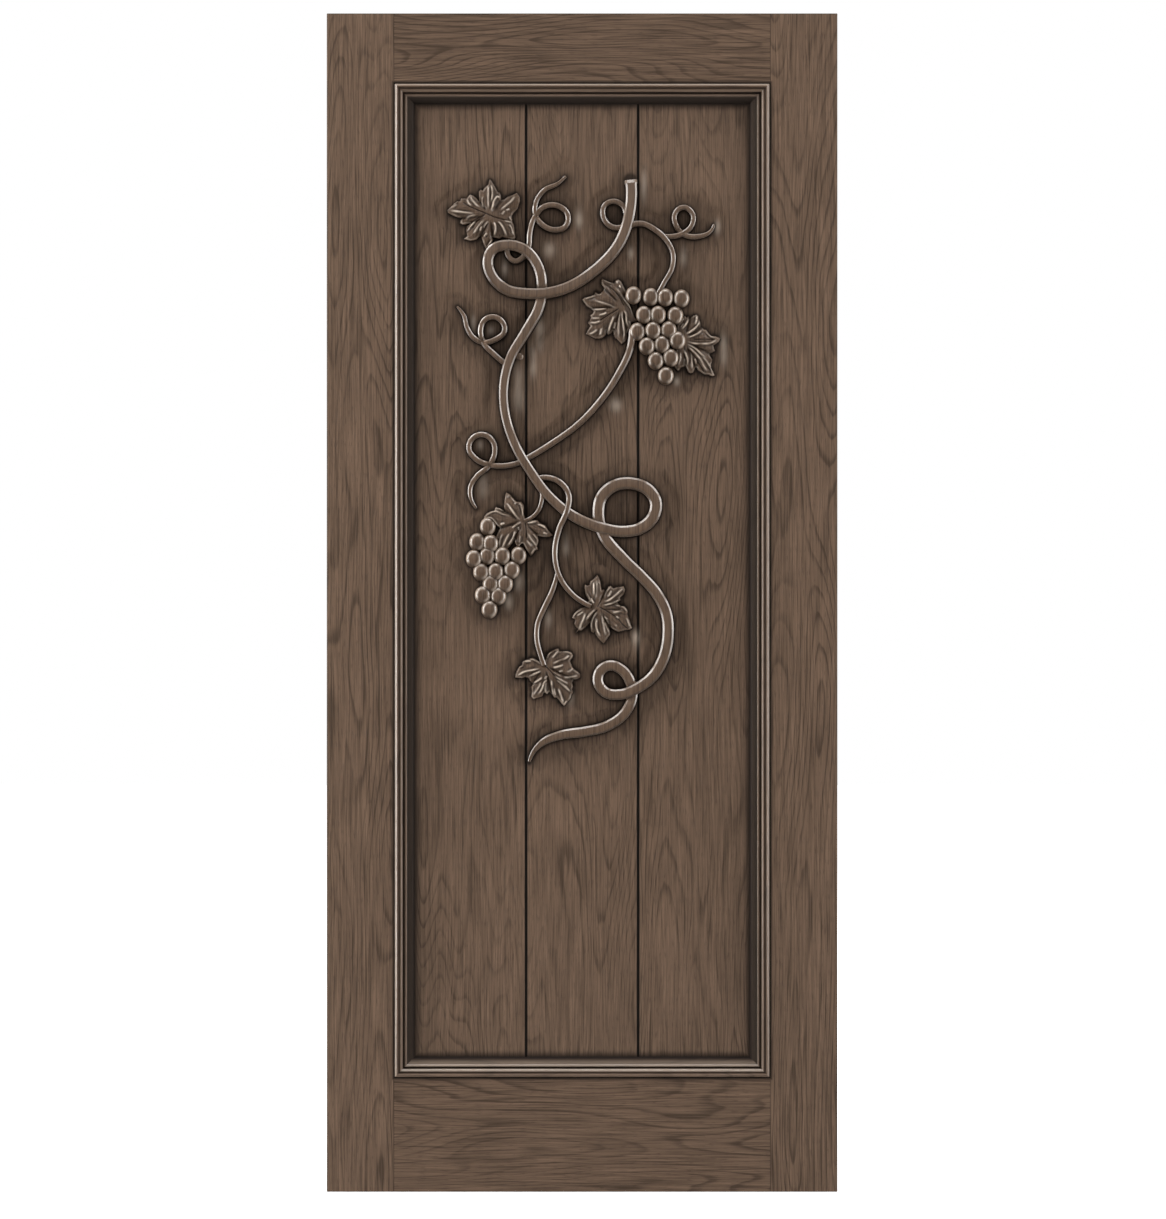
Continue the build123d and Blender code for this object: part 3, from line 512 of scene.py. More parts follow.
class Wire:
    """A value in a material's nodes. Arithmetic on wires and numbers adds Math nodes."""

    def __init__(self, finish, socket):
        self.finish = finish
        self.socket = socket

    def math(self, name, *values):
        return self.finish.node("ShaderNodeMath", {"operation": name}, dict(enumerate(values)))

    __add__ = __radd__ = operation("ADD")
    __sub__ = operation("SUBTRACT")
    __rsub__ = operation("SUBTRACT", turned=True)
    __mul__ = __rmul__ = operation("MULTIPLY")
    __pow__ = operation("POWER")
    most = operation("MAXIMUM")

    def __abs__(self):
        return self.math("ABSOLUTE", self)

    def fraction(self):
        return self.math("FRACT", self)

    def ramp(self, low, high):
        """0 below low, 1 above high, and a smooth step between them."""
        settings = {"interpolation_type": "SMOOTHSTEP"}
        values = {"Value": self, "From Min": low, "From Max": high}
        return self.finish.node("ShaderNodeMapRange", settings, values)

    def band(self, half_width, centre, other):
        """1 at either of two centres, falling smoothly to 0 at half_width to each side."""
        return (1 - abs(self - centre).ramp(0, half_width)).most(1 - abs(self - other).ramp(0, half_width))


class Finish:
    """A material whose shader values are written as Python expressions."""

    def __init__(self, name, **constants):
        self.material = bpy.data.materials.new(name)
        self.material.use_nodes = True
        self.tree = self.material.node_tree
        self.shader = self.tree.nodes["Principled BSDF"]
        for socket, value in constants.items():
            self.shader.inputs[socket.replace("_", " ")].default_value = value

    def node(self, kind, settings=None, values=None, output=0):
        """Adds a node: its settings first, then a number or a wire for each named or numbered socket."""
        made = self.tree.nodes.new(kind)
        for key, value in (settings or {}).items():
            setattr(made, key, value)
        for key, value in (values or {}).items():
            if isinstance(value, Wire):
                self.tree.links.new(value.socket, made.inputs[key])
            else:
                made.inputs[key].default_value = value
        return Wire(self, made.outputs[output])

    def places(self):
        """The object coordinates across, into and up the door, in metres."""
        place = self.node("ShaderNodeTexCoord", output="Object")
        return [self.node("ShaderNodeSeparateXYZ", values={0: place}, output=axis) for axis in "XYZ"]

    def noise(self, first, second, third, detail=2.0, roughness=0.5):
        """Noise from 0 to 1 whose cells are one unit of the three coordinates."""
        vector = self.node("ShaderNodeCombineXYZ", values={0: first, 1: second, 2: third})
        values = {"Vector": vector, "Scale": 1.0, "Detail": detail, "Roughness": roughness}
        return self.node("ShaderNodeTexNoise", values=values)

    def coat(self, name):
        """The glaze with painted shade, or the polish with painted highlight, that each point of the mesh holds,
        from 0 to 1.
        """
        return self.node("ShaderNodeAttribute", {"attribute_name": name}, output="Fac")

    def blend(self, low, high, factor):
        """A colour between two others."""
        return self.node("ShaderNodeMix", {"data_type": "RGBA"}, {0: factor, 6: low, 7: high}, output=2)

    def feed(self, **values):
        """Links values to the shader's sockets."""
        for socket, wire in values.items():
            self.tree.links.new(wire.socket, self.shader.inputs[socket.replace("_", " ")])


# Stain colours, from the depth of a pore to the palest early wood
PORE = (0.030, 0.017, 0.010, 1)
DARK_GRAIN = (0.045, 0.028, 0.0175, 1)
PALE_GRAIN = (0.149, 0.095, 0.063, 1)
# Colours of the glaze with painted shade in creases and round the carving, and of painted highlights on high
# edges
GLAZE_AND_SHADE = (0.006, 0.0035, 0.0022, 1)
PAINTED_HIGHLIGHT_COLOUR = (0.50, 0.41, 0.33, 1)


def wood(name, grain_up, seed, contrast=1.0, depth=0.59, **constants):
    """Stained wood with its grain up the door or across it.

    Slow noise bends the grain, its contours draw the growth rings, stretched noise draws fibres and pores.
    """
    finish = Finish(name, **constants)
    x, y, z = finish.places()
    along, across = (z, x) if grain_up else (x, z)
    shift = seed * 7.31
    board = along + shift
    bend = finish.noise(across * 20, board * 3.6, y * 8 + shift, detail=2.5)
    bent = across + bend * 0.014
    figure = finish.noise(bent * 10, board * 1.25, y * 10 + shift, detail=1, roughness=0.35)
    ripple = finish.noise(bent * 95, board * 9, y * 60 + shift, detail=1)
    rings = (figure * 28 + ripple * 0.4).fraction()
    ring_line = rings.ramp(0.58, 0.88) * (1 - rings.ramp(0.88, 1.0))
    strength = finish.noise(bent * 6, board * 2.2, y * 6 + shift * 3, detail=1).ramp(0.35, 0.65)
    ring_line = ring_line * (strength * 0.6 + 0.4)
    fibre = finish.noise(bent * 430, board * 9, y * 240, detail=2, roughness=0.55)
    pore = finish.noise(bent * 640, board * 50, y * 560, detail=1)
    pore_mark = pore.ramp(0.56, 0.68)
    cloud = finish.noise(across * 14, board * 4.5, y * 9 + shift * 2, detail=2)
    figured = (fibre - 0.5) * 1.9 + (cloud - 0.5) * 0.35 + (ripple - 0.5) * 0.4 - ring_line * 0.5
    tone = depth + figured * contrast
    colour = finish.blend(DARK_GRAIN, PALE_GRAIN, tone)
    colour = finish.blend(colour, PORE, pore_mark * (0.32 * contrast))
    return finish, (x, y, z), colour, fibre, ring_line, pore_mark


def seal(finish, colour, glaze_and_shade, fibre, ring_line, pore_mark, satin, painted_highlight, relief=OPEN_GRAIN, varnish=0.0):
    """Lays the glaze and painted shade over the stain, paints highlights pale on the high edges, and gives the
    surface its gloss and open grain.
    """
    colour = finish.blend(colour, GLAZE_AND_SHADE, glaze_and_shade)
    roughness = satin + (fibre - 0.5) * 0.12 + ring_line * 0.05 + glaze_and_shade * 0.4
    if painted_highlight:
        polish_and_highlight = finish.coat("polish_and_highlight")
        colour = finish.blend(colour, PAINTED_HIGHLIGHT_COLOUR, polish_and_highlight * painted_highlight)
        roughness = roughness - polish_and_highlight * 0.1
    height = fibre * 0.5 - ring_line * 0.45 - pore_mark * 0.8
    normal = finish.node("ShaderNodeBump", values={"Strength": 1.0, "Distance": relief, "Height": height})
    finish.feed(Base_Color=colour, Roughness=roughness, Normal=normal)
    if varnish:
        finish.feed(Coat_Weight=(0.2 + polish_and_highlight * 0.8) * (1 - glaze_and_shade) * varnish)
    return finish.material


def past_opening(x, z, inset=0.0):
    """How far a place lies outside the panel's opening made smaller by an inset: under 0 inside it."""
    beside = abs(x - PANEL_MIDDLE) - ((OPENING_RIGHT - OPENING_LEFT) / 2 - inset)
    over = abs(z - (OPENING_BOTTOM + OPENING_TOP) / 2) - ((OPENING_TOP - OPENING_BOTTOM) / 2 - inset)
    return beside.most(over)


def frame_wood(name, grain_up, seed, depth):
    """Wood of the stiles and rails, with dark glaze along the joints, and painted shade along the door's arrises
    and round the panel's opening.
    """
    finish, (x, y, z), colour, *grain = wood(name, grain_up, seed, depth=depth, Specular_IOR_Level=0.14)
    arris = x.band(ARRIS_LINE, 0, DOOR_RIGHT).most(z.band(ARRIS_LINE, 0, DOOR_TOP))
    below = 1 - z.ramp(OPENING_BOTTOM - MM, OPENING_BOTTOM + MM)
    above = z.ramp(OPENING_TOP - MM, OPENING_TOP + MM)
    joint = x.band(JOINT_LINE, OPENING_LEFT, OPENING_RIGHT) * below.most(above)
    border = 1 - past_opening(x, z).ramp(0.0, BORDER_LINE)
    glaze_and_shade = (arris * 0.6).most(joint * 0.55).most(border * 0.85)
    return seal(finish, colour, glaze_and_shade, *grain, satin=0.44, painted_highlight=0)


def plank_wood(name, seed):
    """Wood of the planks: glaze lies in the seams, painted shade round the panel's edge and round the carving,
    and painted highlights at spots beside the carving.
    """
    finish, (x, y, z), colour, *grain = wood(name, True, seed, Specular_IOR_Level=0.14)
    seam = x.band(SEAM_LINE, LEFT_SEAM, RIGHT_SEAM).ramp(0.05, 0.5)
    border = past_opening(x, z, inset=MOULDING_WIDTH).ramp(*BORDER_FADE)
    glaze_and_shade = seam.most(border * 0.95).most(finish.coat("glaze_and_shade"))
    return seal(finish, colour, glaze_and_shade, *grain, satin=0.40, painted_highlight=0.46)


def carved_wood(name, satin, painted_highlight, mirror, depth, seed):
    """Polished wood of the carving, cut across by the planks' seams, with painted shade in its hollows and
    painted highlights on its edges.
    """
    gloss = {"Specular_IOR_Level": 0.1, "Coat_Roughness": mirror}
    finish, (x, y, z), colour, *grain = wood(name, True, seed, contrast=0.5, depth=depth, **gloss)
    glaze_and_shade = (x.band(HAIRLINE, LEFT_SEAM, RIGHT_SEAM) * 0.75).most(finish.coat("glaze_and_shade"))
    return seal(finish, colour, glaze_and_shade, *grain, satin, painted_highlight, relief=FINE_GRAIN, varnish=0.95)


def moulding_wood(name, grain_up, seed):
    """Polished wood of the mouldings, with painted shade in the creases of their section and painted highlights
    on their beads.
    """
    gloss = {"Specular_IOR_Level": 0.1, "Coat_Roughness": 0.12}
    finish, places, colour, *grain = wood(name, grain_up, seed, contrast=0.6, **gloss)
    glaze_and_shade = finish.coat("glaze_and_shade")
    return seal(finish, colour, glaze_and_shade, *grain, satin=0.34, painted_highlight=0.22, relief=FINE_GRAIN, varnish=0.85)


# Carved strands
def flowing_line(*runs, samples=16):
    """Points along a smooth line, one array for each run of points. Each run starts at the last one's end.

    The heading at a point is that of the circle through it and its two neighbours. Between two points runs a
    cubic whose handles are as long as an arc's: chord * 2/3 * tan(turn / 4) / sin(turn / 2).
    """
    runs = [pairs(run) for run in runs]
    knots = np.vstack([runs[0], *[run[1:] for run in runs[1:]]])
    chord = np.diff(knots, axis=0)
    reach = np.linalg.norm(chord, axis=1, keepdims=True)
    inner = (chord / reach**2)[:-1] + (chord / reach**2)[1:]
    inner /= np.linalg.norm(inner, axis=1, keepdims=True)
    first = 2 * chord[0] / reach[0] * (chord[0] / reach[0]).dot(inner[0]) - inner[0]
    last = 2 * chord[-1] / reach[-1] * (chord[-1] / reach[-1]).dot(inner[-1]) - inner[-1]
    heading = np.vstack([first, inner, last])
    turn = np.arccos(np.clip((heading[:-1] * heading[1:]).sum(1, keepdims=True), -1, 1)) + 1e-6
    handle = reach * 2 / 3 * np.tan(turn / 4) / np.sin(turn / 2)
    corner = [knots[:-1], knots[:-1] + heading[:-1] * handle, knots[1:] - heading[1:] * handle, knots[1:]]
    t = np.linspace(0, 1, samples, endpoint=False)[None, :, None]
    a, b, c, d = [point[:, None, :] for point in corner]
    place = a * (1 - t) ** 3 + 3 * b * t * (1 - t) ** 2 + 3 * c * t**2 * (1 - t) + d * t**3
    place = np.vstack([place.reshape(-1, 2), knots[-1:]])
    ends = np.cumsum([0] + [(len(run) - 1) * samples for run in runs])
    return [place[start:end + 1] for start, end in zip(ends[:-1], ends[1:])]


# Half of a strand's section from its foot to its middle: (share of the half width, drop below the top as a share
# of the half width, share of the height that is left there, polish with painted highlight). Its bevel slopes at
# 38 degrees.
FLAT_TOPPED = [
    (1, 0.3, 0, 0), (0.985, 0.3, 0.4, 0), (0.965, 0.3, 0.75, 0), (0.95, 0.29, 0.95, 0.1), (0.94, 0.274, 1, 0.8),
    (0.93, 0.2662, 1, 1), (0.65, 0.0475, 1, 1), (0.64, 0.0397, 1, 0.6), (0.6, 0.028, 1, 0), (0.3, 0.01, 1, 0),
]
ROUND_TOPPED = [
    (1, 0.42, 0, 0), (0.98, 0.42, 0.4, 0), (0.95, 0.42, 0.75, 0), (0.91, 0.4, 0.95, 0.1), (0.88, 0.36, 1, 0.8),
    (0.86, 0.344, 1, 1), (0.52, 0.079, 1, 1), (0.5, 0.063, 1, 0.6), (0.4, 0.03, 1, 0),
]


def strand(line, widths, height, swells=(), tip=None, bevel=None, section=FLAT_TOPPED):
    """Rings of a carved strand, its glaze with painted shade and its polish with painted highlight.

    The section's half is mirrored over the middle, and a point of it stands out by share of the height *
    (height - drop * half width). The height swells or dips round given places by amount * exp(-(distance /
    radius)^2). A tip narrows as a quarter circle and sinks, and a bevelled start slopes back. A fillet of painted
    shade runs along both feet, and the foot is darker with painted shade. The bevels carry painted highlights
    with gloss; on sides that face down these are dimmer and carry painted shade, and the cut end's bevel is all
    painted highlight.
    """
    if bevel:
        way = (line[1] - line[0]) / np.linalg.norm(line[1] - line[0])
        steps = np.array([[0], [0.15], [bevel * 0.97], [bevel], [bevel * 1.1]])
        line = np.vstack([line[0] + way * steps, line[3:]])
    travel = np.gradient(line, axis=0)
    travel /= np.linalg.norm(travel, axis=1, keepdims=True)
    side = np.stack([-travel[:, 1], travel[:, 0]], -1)
    run = np.concatenate([[0], np.cumsum(np.linalg.norm(np.diff(line, axis=0), axis=1))])
    width = np.interp(run / run[-1], *np.array(widths, float).T)
    tall = np.full(len(line), float(height))
    for place, amount, radius in swells:
        tall += amount * bell(np.linalg.norm(line - np.array(place), axis=1), radius)
    if tip:
        left = run[-1] - run
        nose = np.clip(left / (width / 2 + 0.01), 0, 1)
        nose = np.sqrt(1 - (1 - nose) ** 2)
        tall *= (0.45 + 0.55 * smoothstep(0, tip, left)) * (0.5 + 0.5 * nose)
        width = width * nose
    if bevel:
        tall -= CUT_BEVEL_SLOPE * np.clip(bevel - run, 0, bevel)
        width += 2 * smoothstep(bevel * 1.2, bevel, run)
    half = np.array(section, float)
    level, drop, rise, polish_and_highlight = np.vstack([half, [(0, 0, 1, 0)], half[::-1] * (-1, 1, 1, 0.75)]).T
    width = width[:, None]
    foot = width / 2 * (1, 1, -1, -1) + FILLET * np.array([1, 1, -1, -1])
    sunk = np.ones_like(width) * (-CARVED_SKIRT / MM, FILLET_HEIGHT, FILLET_HEIGHT, -CARVED_SKIRT / MM)
    reach = np.hstack([foot[:, :2], level * width / 2, foot[:, 2:]])
    out = np.hstack([sunk[:, :2], rise * (tall[:, None] - drop * width / 2), sunk[:, 2:]])
    across, up = np.moveaxis(line[:, None, :] + side[:, None, :] * reach[:, :, None], -1, 0)
    shaded = smoothstep(0.1, -0.75, side[:, 1:] * np.sign(reach))
    polish_and_highlight = np.concatenate([[0, 0], polish_and_highlight, [0, 0]])
    glaze_and_shade = 0.97 - 0.5 * smoothstep(0.1, 0.6, rise) - 0.47 * smoothstep(0.6, 0.98, rise)
    glaze_and_shade = np.maximum(np.concatenate([[1, 1], glaze_and_shade, [1, 1]]), 0.45 * polish_and_highlight * shaded)
    polish_and_highlight = polish_and_highlight * (1 - 0.85 * shaded) * (0.85 + 0.35 * wander(across, up, 70, 60))
    if bevel:
        # The cut end's bevel is a painted highlight with full gloss
        polish_and_highlight[run < bevel * 1.05] = 1
    return on_panel(across, up, out), glaze_and_shade, polish_and_highlight


def thin(line, widths, height, **shape):
    """A branch, stalk or tendril: a strand with a round top."""
    return flowing_line(line)[0], widths, height, {"section": ROUND_TOPPED, **shape}


# Where one strand passes another: (place, change of height, radius)
UNDER_TOP_ARC = ((-73, -200), -7, 15)
UNDER_RING = ((33, -622), -7, 15)
UNDER_LOWER_LOOP = ((89, -916), -7, 15)
OVER_VINE = ((-29, -594), 5, 16)
DIP_TOP = ((-82, -65), -5, 8)
DIP_RIGHT = ((174, -90), -5, 8)
DIP_LEFT = ((-180, -289), -5, 8)
DIP_LOWER = ((-166, -511), -5, 8)

# Each strand's line, its widths as (place from 0 at its start to 1 at its end, width), its height and its shape
vine_top, vine_middle, vine_lower, vine_tail = flowing_line(VINE_TOP, VINE_MIDDLE, VINE_LOWER, VINE_TAIL)
TOP_WIDTHS = [(0, 20.5), (0.5, 20), (1, 19.5)]
MIDDLE_WIDTHS = [(0, 19.5), (0.25, 19), (0.45, 16.5), (0.7, 17.5), (0.85, 20.5), (1, 22.5)]
LOWER_WIDTHS = [(0, 22.5), (0.3, 21.5), (0.45, 20), (0.7, 21), (1, 19.2)]
TAIL_WIDTHS = [(0, 19.2), (0.7, 18.8), (0.84, 15), (0.93, 9), (1, 4.5)]
TENDRIL_WIDTHS = {
    "top": [(0, 10), (0.7, 10), (0.92, 8), (1, 5)],
    "right": [(0, 9.4), (0.8, 9.8), (1, 5)],
    "left": [(0, 10), (0.75, 10), (0.92, 8), (1, 4)],
    "lower": [(0, 10.4), (0.7, 10), (0.9, 8.6), (1, 5)],
}
STRANDS = {
    "vine_top": (vine_top, TOP_WIDTHS, VINE_HEIGHT, {"bevel": CUT_BEVEL}),
    "vine_middle": (vine_middle, MIDDLE_WIDTHS, VINE_HEIGHT, {"swells": [UNDER_TOP_ARC]}),
    "vine_lower": (vine_lower, LOWER_WIDTHS, VINE_HEIGHT, {"swells": [UNDER_RING]}),
    "vine_tail": (vine_tail, TAIL_WIDTHS, VINE_HEIGHT, {"swells": [UNDER_LOWER_LOOP], "tip": 60}),
    "vine_branch": thin(BRANCH, [(0, 13.4), (1, 10.5)], BRANCH_HEIGHT),
    "stalk_upper_bunch": thin(BUNCH_STALK, [(0, 10.4), (1, 8.4)], STALK_HEIGHT),
    "stalk_bunch_leaf": thin(LEAF_STALK, [(0, 9.5), (1, 6.4)], STALK_HEIGHT),
    "stalk_middle_leaf": thin(MIDDLE_STALK, [(0, 10.2), (0.3, 11), (1, 9)], STALK_HEIGHT, swells=[OVER_VINE]),
    "stalk_bottom_leaf": thin(BOTTOM_STALK, [(0, 8.6), (0.3, 10.2), (1, 9)], BOTTOM_STALK_HEIGHT),
    "tendril_top": thin(TENDRIL_TOP, TENDRIL_WIDTHS["top"], TENDRIL_HEIGHT, swells=[DIP_TOP], tip=40),
    "tendril_ring": thin(TENDRIL_RING, [(0, 9.6), (1, 9.6)], TENDRIL_HEIGHT),
    "tendril_right": thin(TENDRIL_RIGHT, TENDRIL_WIDTHS["right"], TENDRIL_HEIGHT, swells=[DIP_RIGHT], tip=30),
    "tendril_left": thin(TENDRIL_LEFT, TENDRIL_WIDTHS["left"], TENDRIL_HEIGHT, swells=[DIP_LEFT], tip=40),
    "tendril_lower": thin(TENDRIL_LOWER, TENDRIL_WIDTHS["lower"], TENDRIL_HEIGHT, swells=[DIP_LOWER], tip=30),
}

vine_wood = carved_wood("vine wood", 0.24, 0.16, 0.16, 0.46, 2)
leaf_wood = carved_wood("leaf wood", 0.26, 0.82, 0.16, 0.38, 3)
grape_wood = carved_wood("grape wood", 0.22, 0.4, 0.14, 0.42, 4)


def dome(centre, across_radius, upright_radius, front, back, centre_out):
    """Rings of an egg from its outermost point to its innermost: radius * sin and cos of a tilt and a turn.

    Its depth in front of the widest place differs from its depth behind it. Crescents at its sides and top carry
    painted highlights with gloss; its foot, and its flanks below and between the crescents, carry painted shade.
    """
    tilt = np.linspace(0, pi, 19)[:, None]
    turn = np.linspace(0, 2 * pi, 32, endpoint=False)[None, :]
    across = centre[0] + across_radius * np.sin(tilt) * np.cos(turn)
    up = centre[1] + upright_radius * np.sin(tilt) * np.sin(turn)
    out = centre_out + np.where(tilt < pi / 2, front, back) * np.cos(tilt) + 0 * turn
    lean = tilt * 180 / pi + 0 * turn
    lit = np.maximum(smoothstep(0.35, 0.9, np.abs(np.cos(turn + 0.35))), smoothstep(0.78, 0.97, np.sin(turn)))
    polish_and_highlight = smoothstep(30, 48, lean) * smoothstep(76, 66, lean) * lit
    glaze_and_shade = 0.97 * smoothstep(centre_out + front * 0.42, centre_out - 1, out)
    glaze_and_shade = np.maximum(glaze_and_shade, 0.5 * smoothstep(14, 60, lean) * (1 - lit))
    return on_panel(across, up, out), glaze_and_shade, polish_and_highlight


for node, (line, widths, height, shape) in STRANDS.items():
    shells = [strand(line, widths, height, **shape)]
    if node == "tendril_left":
        size = (NUB_RADIUS, NUB_RADIUS, NUB_RISE, TENDRIL_HEIGHT)
        shells.append(dome(NUB_CENTRE, *size, TENDRIL_HEIGHT - NUB_RISE))
    add_piece(node, "carved", shells, vine_wood)


# Grapes
def grape_heights(grapes, leaf=None):
    """How far each grape's middle stands out: uneven by a millimetre, and less under a leaf that lies over it."""
    heights = GRAPE_CENTRE - np.random.default_rng(len(grapes)).uniform(0, GRAPE_UNEVEN, len(grapes))
    if leaf:
        away = np.linalg.norm(grapes - np.array(leaf.hub), axis=1)
        heights -= COVERED_DROP * (1 - smoothstep(COVERED_NEAR, COVERED_FAR, away))
    return heights


for label, spots, leaf in (("upper", UPPER_GRAPES, None), ("lower", LOWER_GRAPES, LEAVES["leaf_over_bunch"])):
    size = (GRAPE_ACROSS, GRAPE_UPRIGHT, GRAPE_FRONT, GRAPE_BACK)
    grapes = pairs(spots)
    shells = [dome(grape, *size, out) for grape, out in zip(grapes, grape_heights(grapes, leaf))]
    add_piece(f"grapes_{label}", "carved", shells, grape_wood)


# Leaves
def distance_to_lines(place, lines):
    """Distance from each place to the nearest of several lines, and its share of the way along that line."""
    nearest = np.full(place.shape[:-1], 1e3)
    share = np.zeros(nearest.shape)
    for line in lines:
        knots = np.array(line, float)
        for i, (start, end) in enumerate(zip(knots[:-1], knots[1:])):
            way = end - start
            t = np.clip(((place - start) @ way) / (way @ way), 0, 1)
            away = np.linalg.norm(place - start - t[..., None] * way, axis=-1)
            share = np.where(away < nearest, (i + t) / (len(knots) - 1), share)
            nearest = np.minimum(away, nearest)
    return nearest, share


def rounded(line):
    """A line through the same points with its corners rounded: each span is cut in four along a smooth curve."""
    return flowing_line(line, samples=4)[0] if len(line) > 2 else line


def inside(place, outline):
    """True where a place is inside the outline: a level ray from it crosses that an odd number of times."""
    end = np.roll(outline, -1, axis=0)
    x, y = place[..., 0, None], place[..., 1, None]
    crossing = (outline[:, 1] > y) != (end[:, 1] > y)
    rise = np.where(end[:, 1] == outline[:, 1], 1, end[:, 1] - outline[:, 1])
    at = outline[:, 0] + (y - outline[:, 1]) / rise * (end[:, 0] - outline[:, 0])
    return (crossing & (x < at)).sum(-1) % 2 == 1


def leaf_rings(leaf):
    """Rings of a leaf from its hub to its outline and down to the planks, its glaze with painted shade and its
    polish with painted highlight.

    Out of the planks the leaf is a pillow that rises from its edge by a smooth step, less a valley
    exp(-(distance / width)^2) from the hub to each deep notch, plus a crest of the same form along each ridge,
    with shallow troughs beside it, and less a narrow cut along each furrow. Its lobes lift and sink by seeded
    waves, and veins (0.5 + 0.5 cos(heading * count))^5 are engraved from its hub outwards. Painted shade lies in
    its valleys, troughs, cuts and veins, and painted highlights with gloss on its crests and its rim.
    """
    hub = np.array(leaf.hub, float)
    corners = hub + pairs(leaf.outline)
    step = np.roll(corners, -1, axis=0) - corners
    run = np.concatenate([[0], np.cumsum(np.linalg.norm(step, axis=1))])
    along = np.union1d(np.arange(0, run[-1], LEAF_PITCH), run[:-1])
    closed = np.vstack([corners, corners[:1]])
    rim = np.stack([np.interp(along, run, closed[:, 0]), np.interp(along, run, closed[:, 1])], -1)
    rho = np.concatenate([np.linspace(0, 0.94, 44), [0.965, 0.985, 1.0]])[:, None, None]
    place = hub + rho * (rim - hub)
    across, up = place[..., 0], place[..., 1]
    edge = np.where(inside(place, corners), distance_to_lines(place, [closed])[0], 0)
    edge[-1] = 0
    away = np.linalg.norm(place - hub, axis=-1)
    out = leaf.lift + LEAF_EDGE + LEAF_PILLOW * smoothstep(0, 15, edge)
    out = out + LEAF_WANDER * wander(across, up, 60, leaf.seed)
    valley = distance_to_lines(place, [(hub, notch) for notch in hub + pairs(leaf.notches)])[0]
    valley = bell(valley, VALLEY_WIDTH) * smoothstep(5, 20, away)
    out = out - VALLEY_DEPTH * valley
    glaze_and_shade = 0.75 * valley**2
    polish_and_highlight = np.zeros_like(out)
    for lines, crest, trough in ((leaf.ridges, 2.2, 1.0), (leaf.sharp_ridges, 3.2, 1.4)):
        for line in lines:
            gap, share = distance_to_lines(place, [rounded(hub + pairs(line))])
            taper = smoothstep(0, 0.25, share) * smoothstep(1, 0.75, share)
            narrow = bell(gap, RIDGE_REACH)
            broad = bell(gap, RIDGE_REACH * 2.4)
            out = out + taper * ((crest + trough) * narrow - trough * broad)
            glaze_and_shade = np.maximum(glaze_and_shade, 0.8 * taper * (broad - narrow) * trough)
            polish_and_highlight = np.maximum(polish_and_highlight, taper * bell(gap, RIDGE_REACH * 0.72) * crest / 3)
    cut = bell(distance_to_lines(place, [rounded(hub + pairs(line)) for line in leaf.furrows])[0], CUT_WIDTH)
    out = out - CUT_DEPTH * cut
    glaze_and_shade = np.maximum(glaze_and_shade, 0.8 * cut)
    rim_line = bell(edge - 1.9, 1.1) * (0.5 + 0.5 * wander(across, up, 18, leaf.seed + 50))
    out = out + 0.5 * rim_line - 1.9 * (1 - np.clip(edge / 1.8, 0, 1)) ** 2
    polish_and_highlight = np.maximum(polish_and_highlight, 0.5 * np.clip(rim_line, 0, 1))
    polish_and_highlight = polish_and_highlight * (0.8 + 0.45 * wander(across, up, 22, leaf.seed + 20))
    heading = np.arctan2(up - hub[1], across - hub[0])
    veins = (0.5 + 0.5 * np.cos(heading * VEINS_ROUND + 2.2 * wander(across, up, 30, leaf.seed + 30))) ** 5
    veins = veins * smoothstep(9, 18, away) * (0.6 + 0.6 * wander(across, up, 26, leaf.seed + 40))
    veins = np.clip(veins, 0, 1)
    out = out - VEIN_DEPTH * veins
    glaze_and_shade = np.maximum(glaze_and_shade, 0.5 * veins * (1 - np.clip(polish_and_highlight, 0, 1)))
    out = np.where(edge > 0, out, np.minimum(out, leaf.lift + 5))
    turn = np.roll(rim, -1, axis=0) - np.roll(rim, 1, axis=0)
    outward = np.stack([-turn[:, 1], turn[:, 0]], -1) / np.linalg.norm(turn, axis=1, keepdims=True)
    foot = np.stack([rim, rim + outward * FILLET, rim + outward * FILLET])
    foot_out = np.broadcast_to(np.array([[1.2], [FILLET_HEIGHT], [-CARVED_SKIRT / MM]]), foot.shape[:2])
    place = np.concatenate([place, foot])
    out = np.concatenate([out, foot_out])
    glaze_and_shade = np.concatenate([np.clip(glaze_and_shade, 0, 1), np.ones(foot.shape[:2])])
    polish_and_highlight = np.concatenate([np.clip(polish_and_highlight, 0, 1), np.zeros(foot.shape[:2])])
    return on_panel(place[..., 0], place[..., 1], out), glaze_and_shade, polish_and_highlight


for node, leaf in LEAVES.items():
    add_piece(node, "carved", [leaf_rings(leaf)], leaf_wood, sharp_angle=75)


# Planks
def carving_discs():
    """Discs (across, up, radius) that together cover the carving, in millimetres."""
    discs = []
    for line, widths, *_ in STRANDS.values():
        half = np.interp(np.linspace(0, 1, len(line)), *np.array(widths, float).T) / 2
        discs.append(np.column_stack([line, half])[::3])
    for grape in pairs(UPPER_GRAPES + LOWER_GRAPES):
        discs.append([(*grape, GRAPE_ACROSS)])
    for leaf in LEAVES.values():
        for share in np.linspace(0.15, 0.94, 8):
            spots = np.array(leaf.hub) + share * pairs(leaf.outline)
            discs.append(np.column_stack([spots, np.full(len(spots), 3.5)]))
    return np.vstack(discs)


DISCS = carving_discs()


def distance_to_carving(x, z):
    """Distance in metres from places on the planks to the nearest edge of the carving: 0 or less inside it."""
    across = (x - PANEL_MIDDLE) / MM
    up = (z - CUT_END) / MM
    nearest = np.full(x.shape, 1e3)
    for rows in np.array_split(np.arange(x.shape[0]), 24):
        gap = np.hypot(across[rows, :, None] - DISCS[:, 0], up[rows, :, None] - DISCS[:, 1]) - DISCS[:, 2]
        nearest[rows] = gap.min(axis=2)
    return nearest * MM


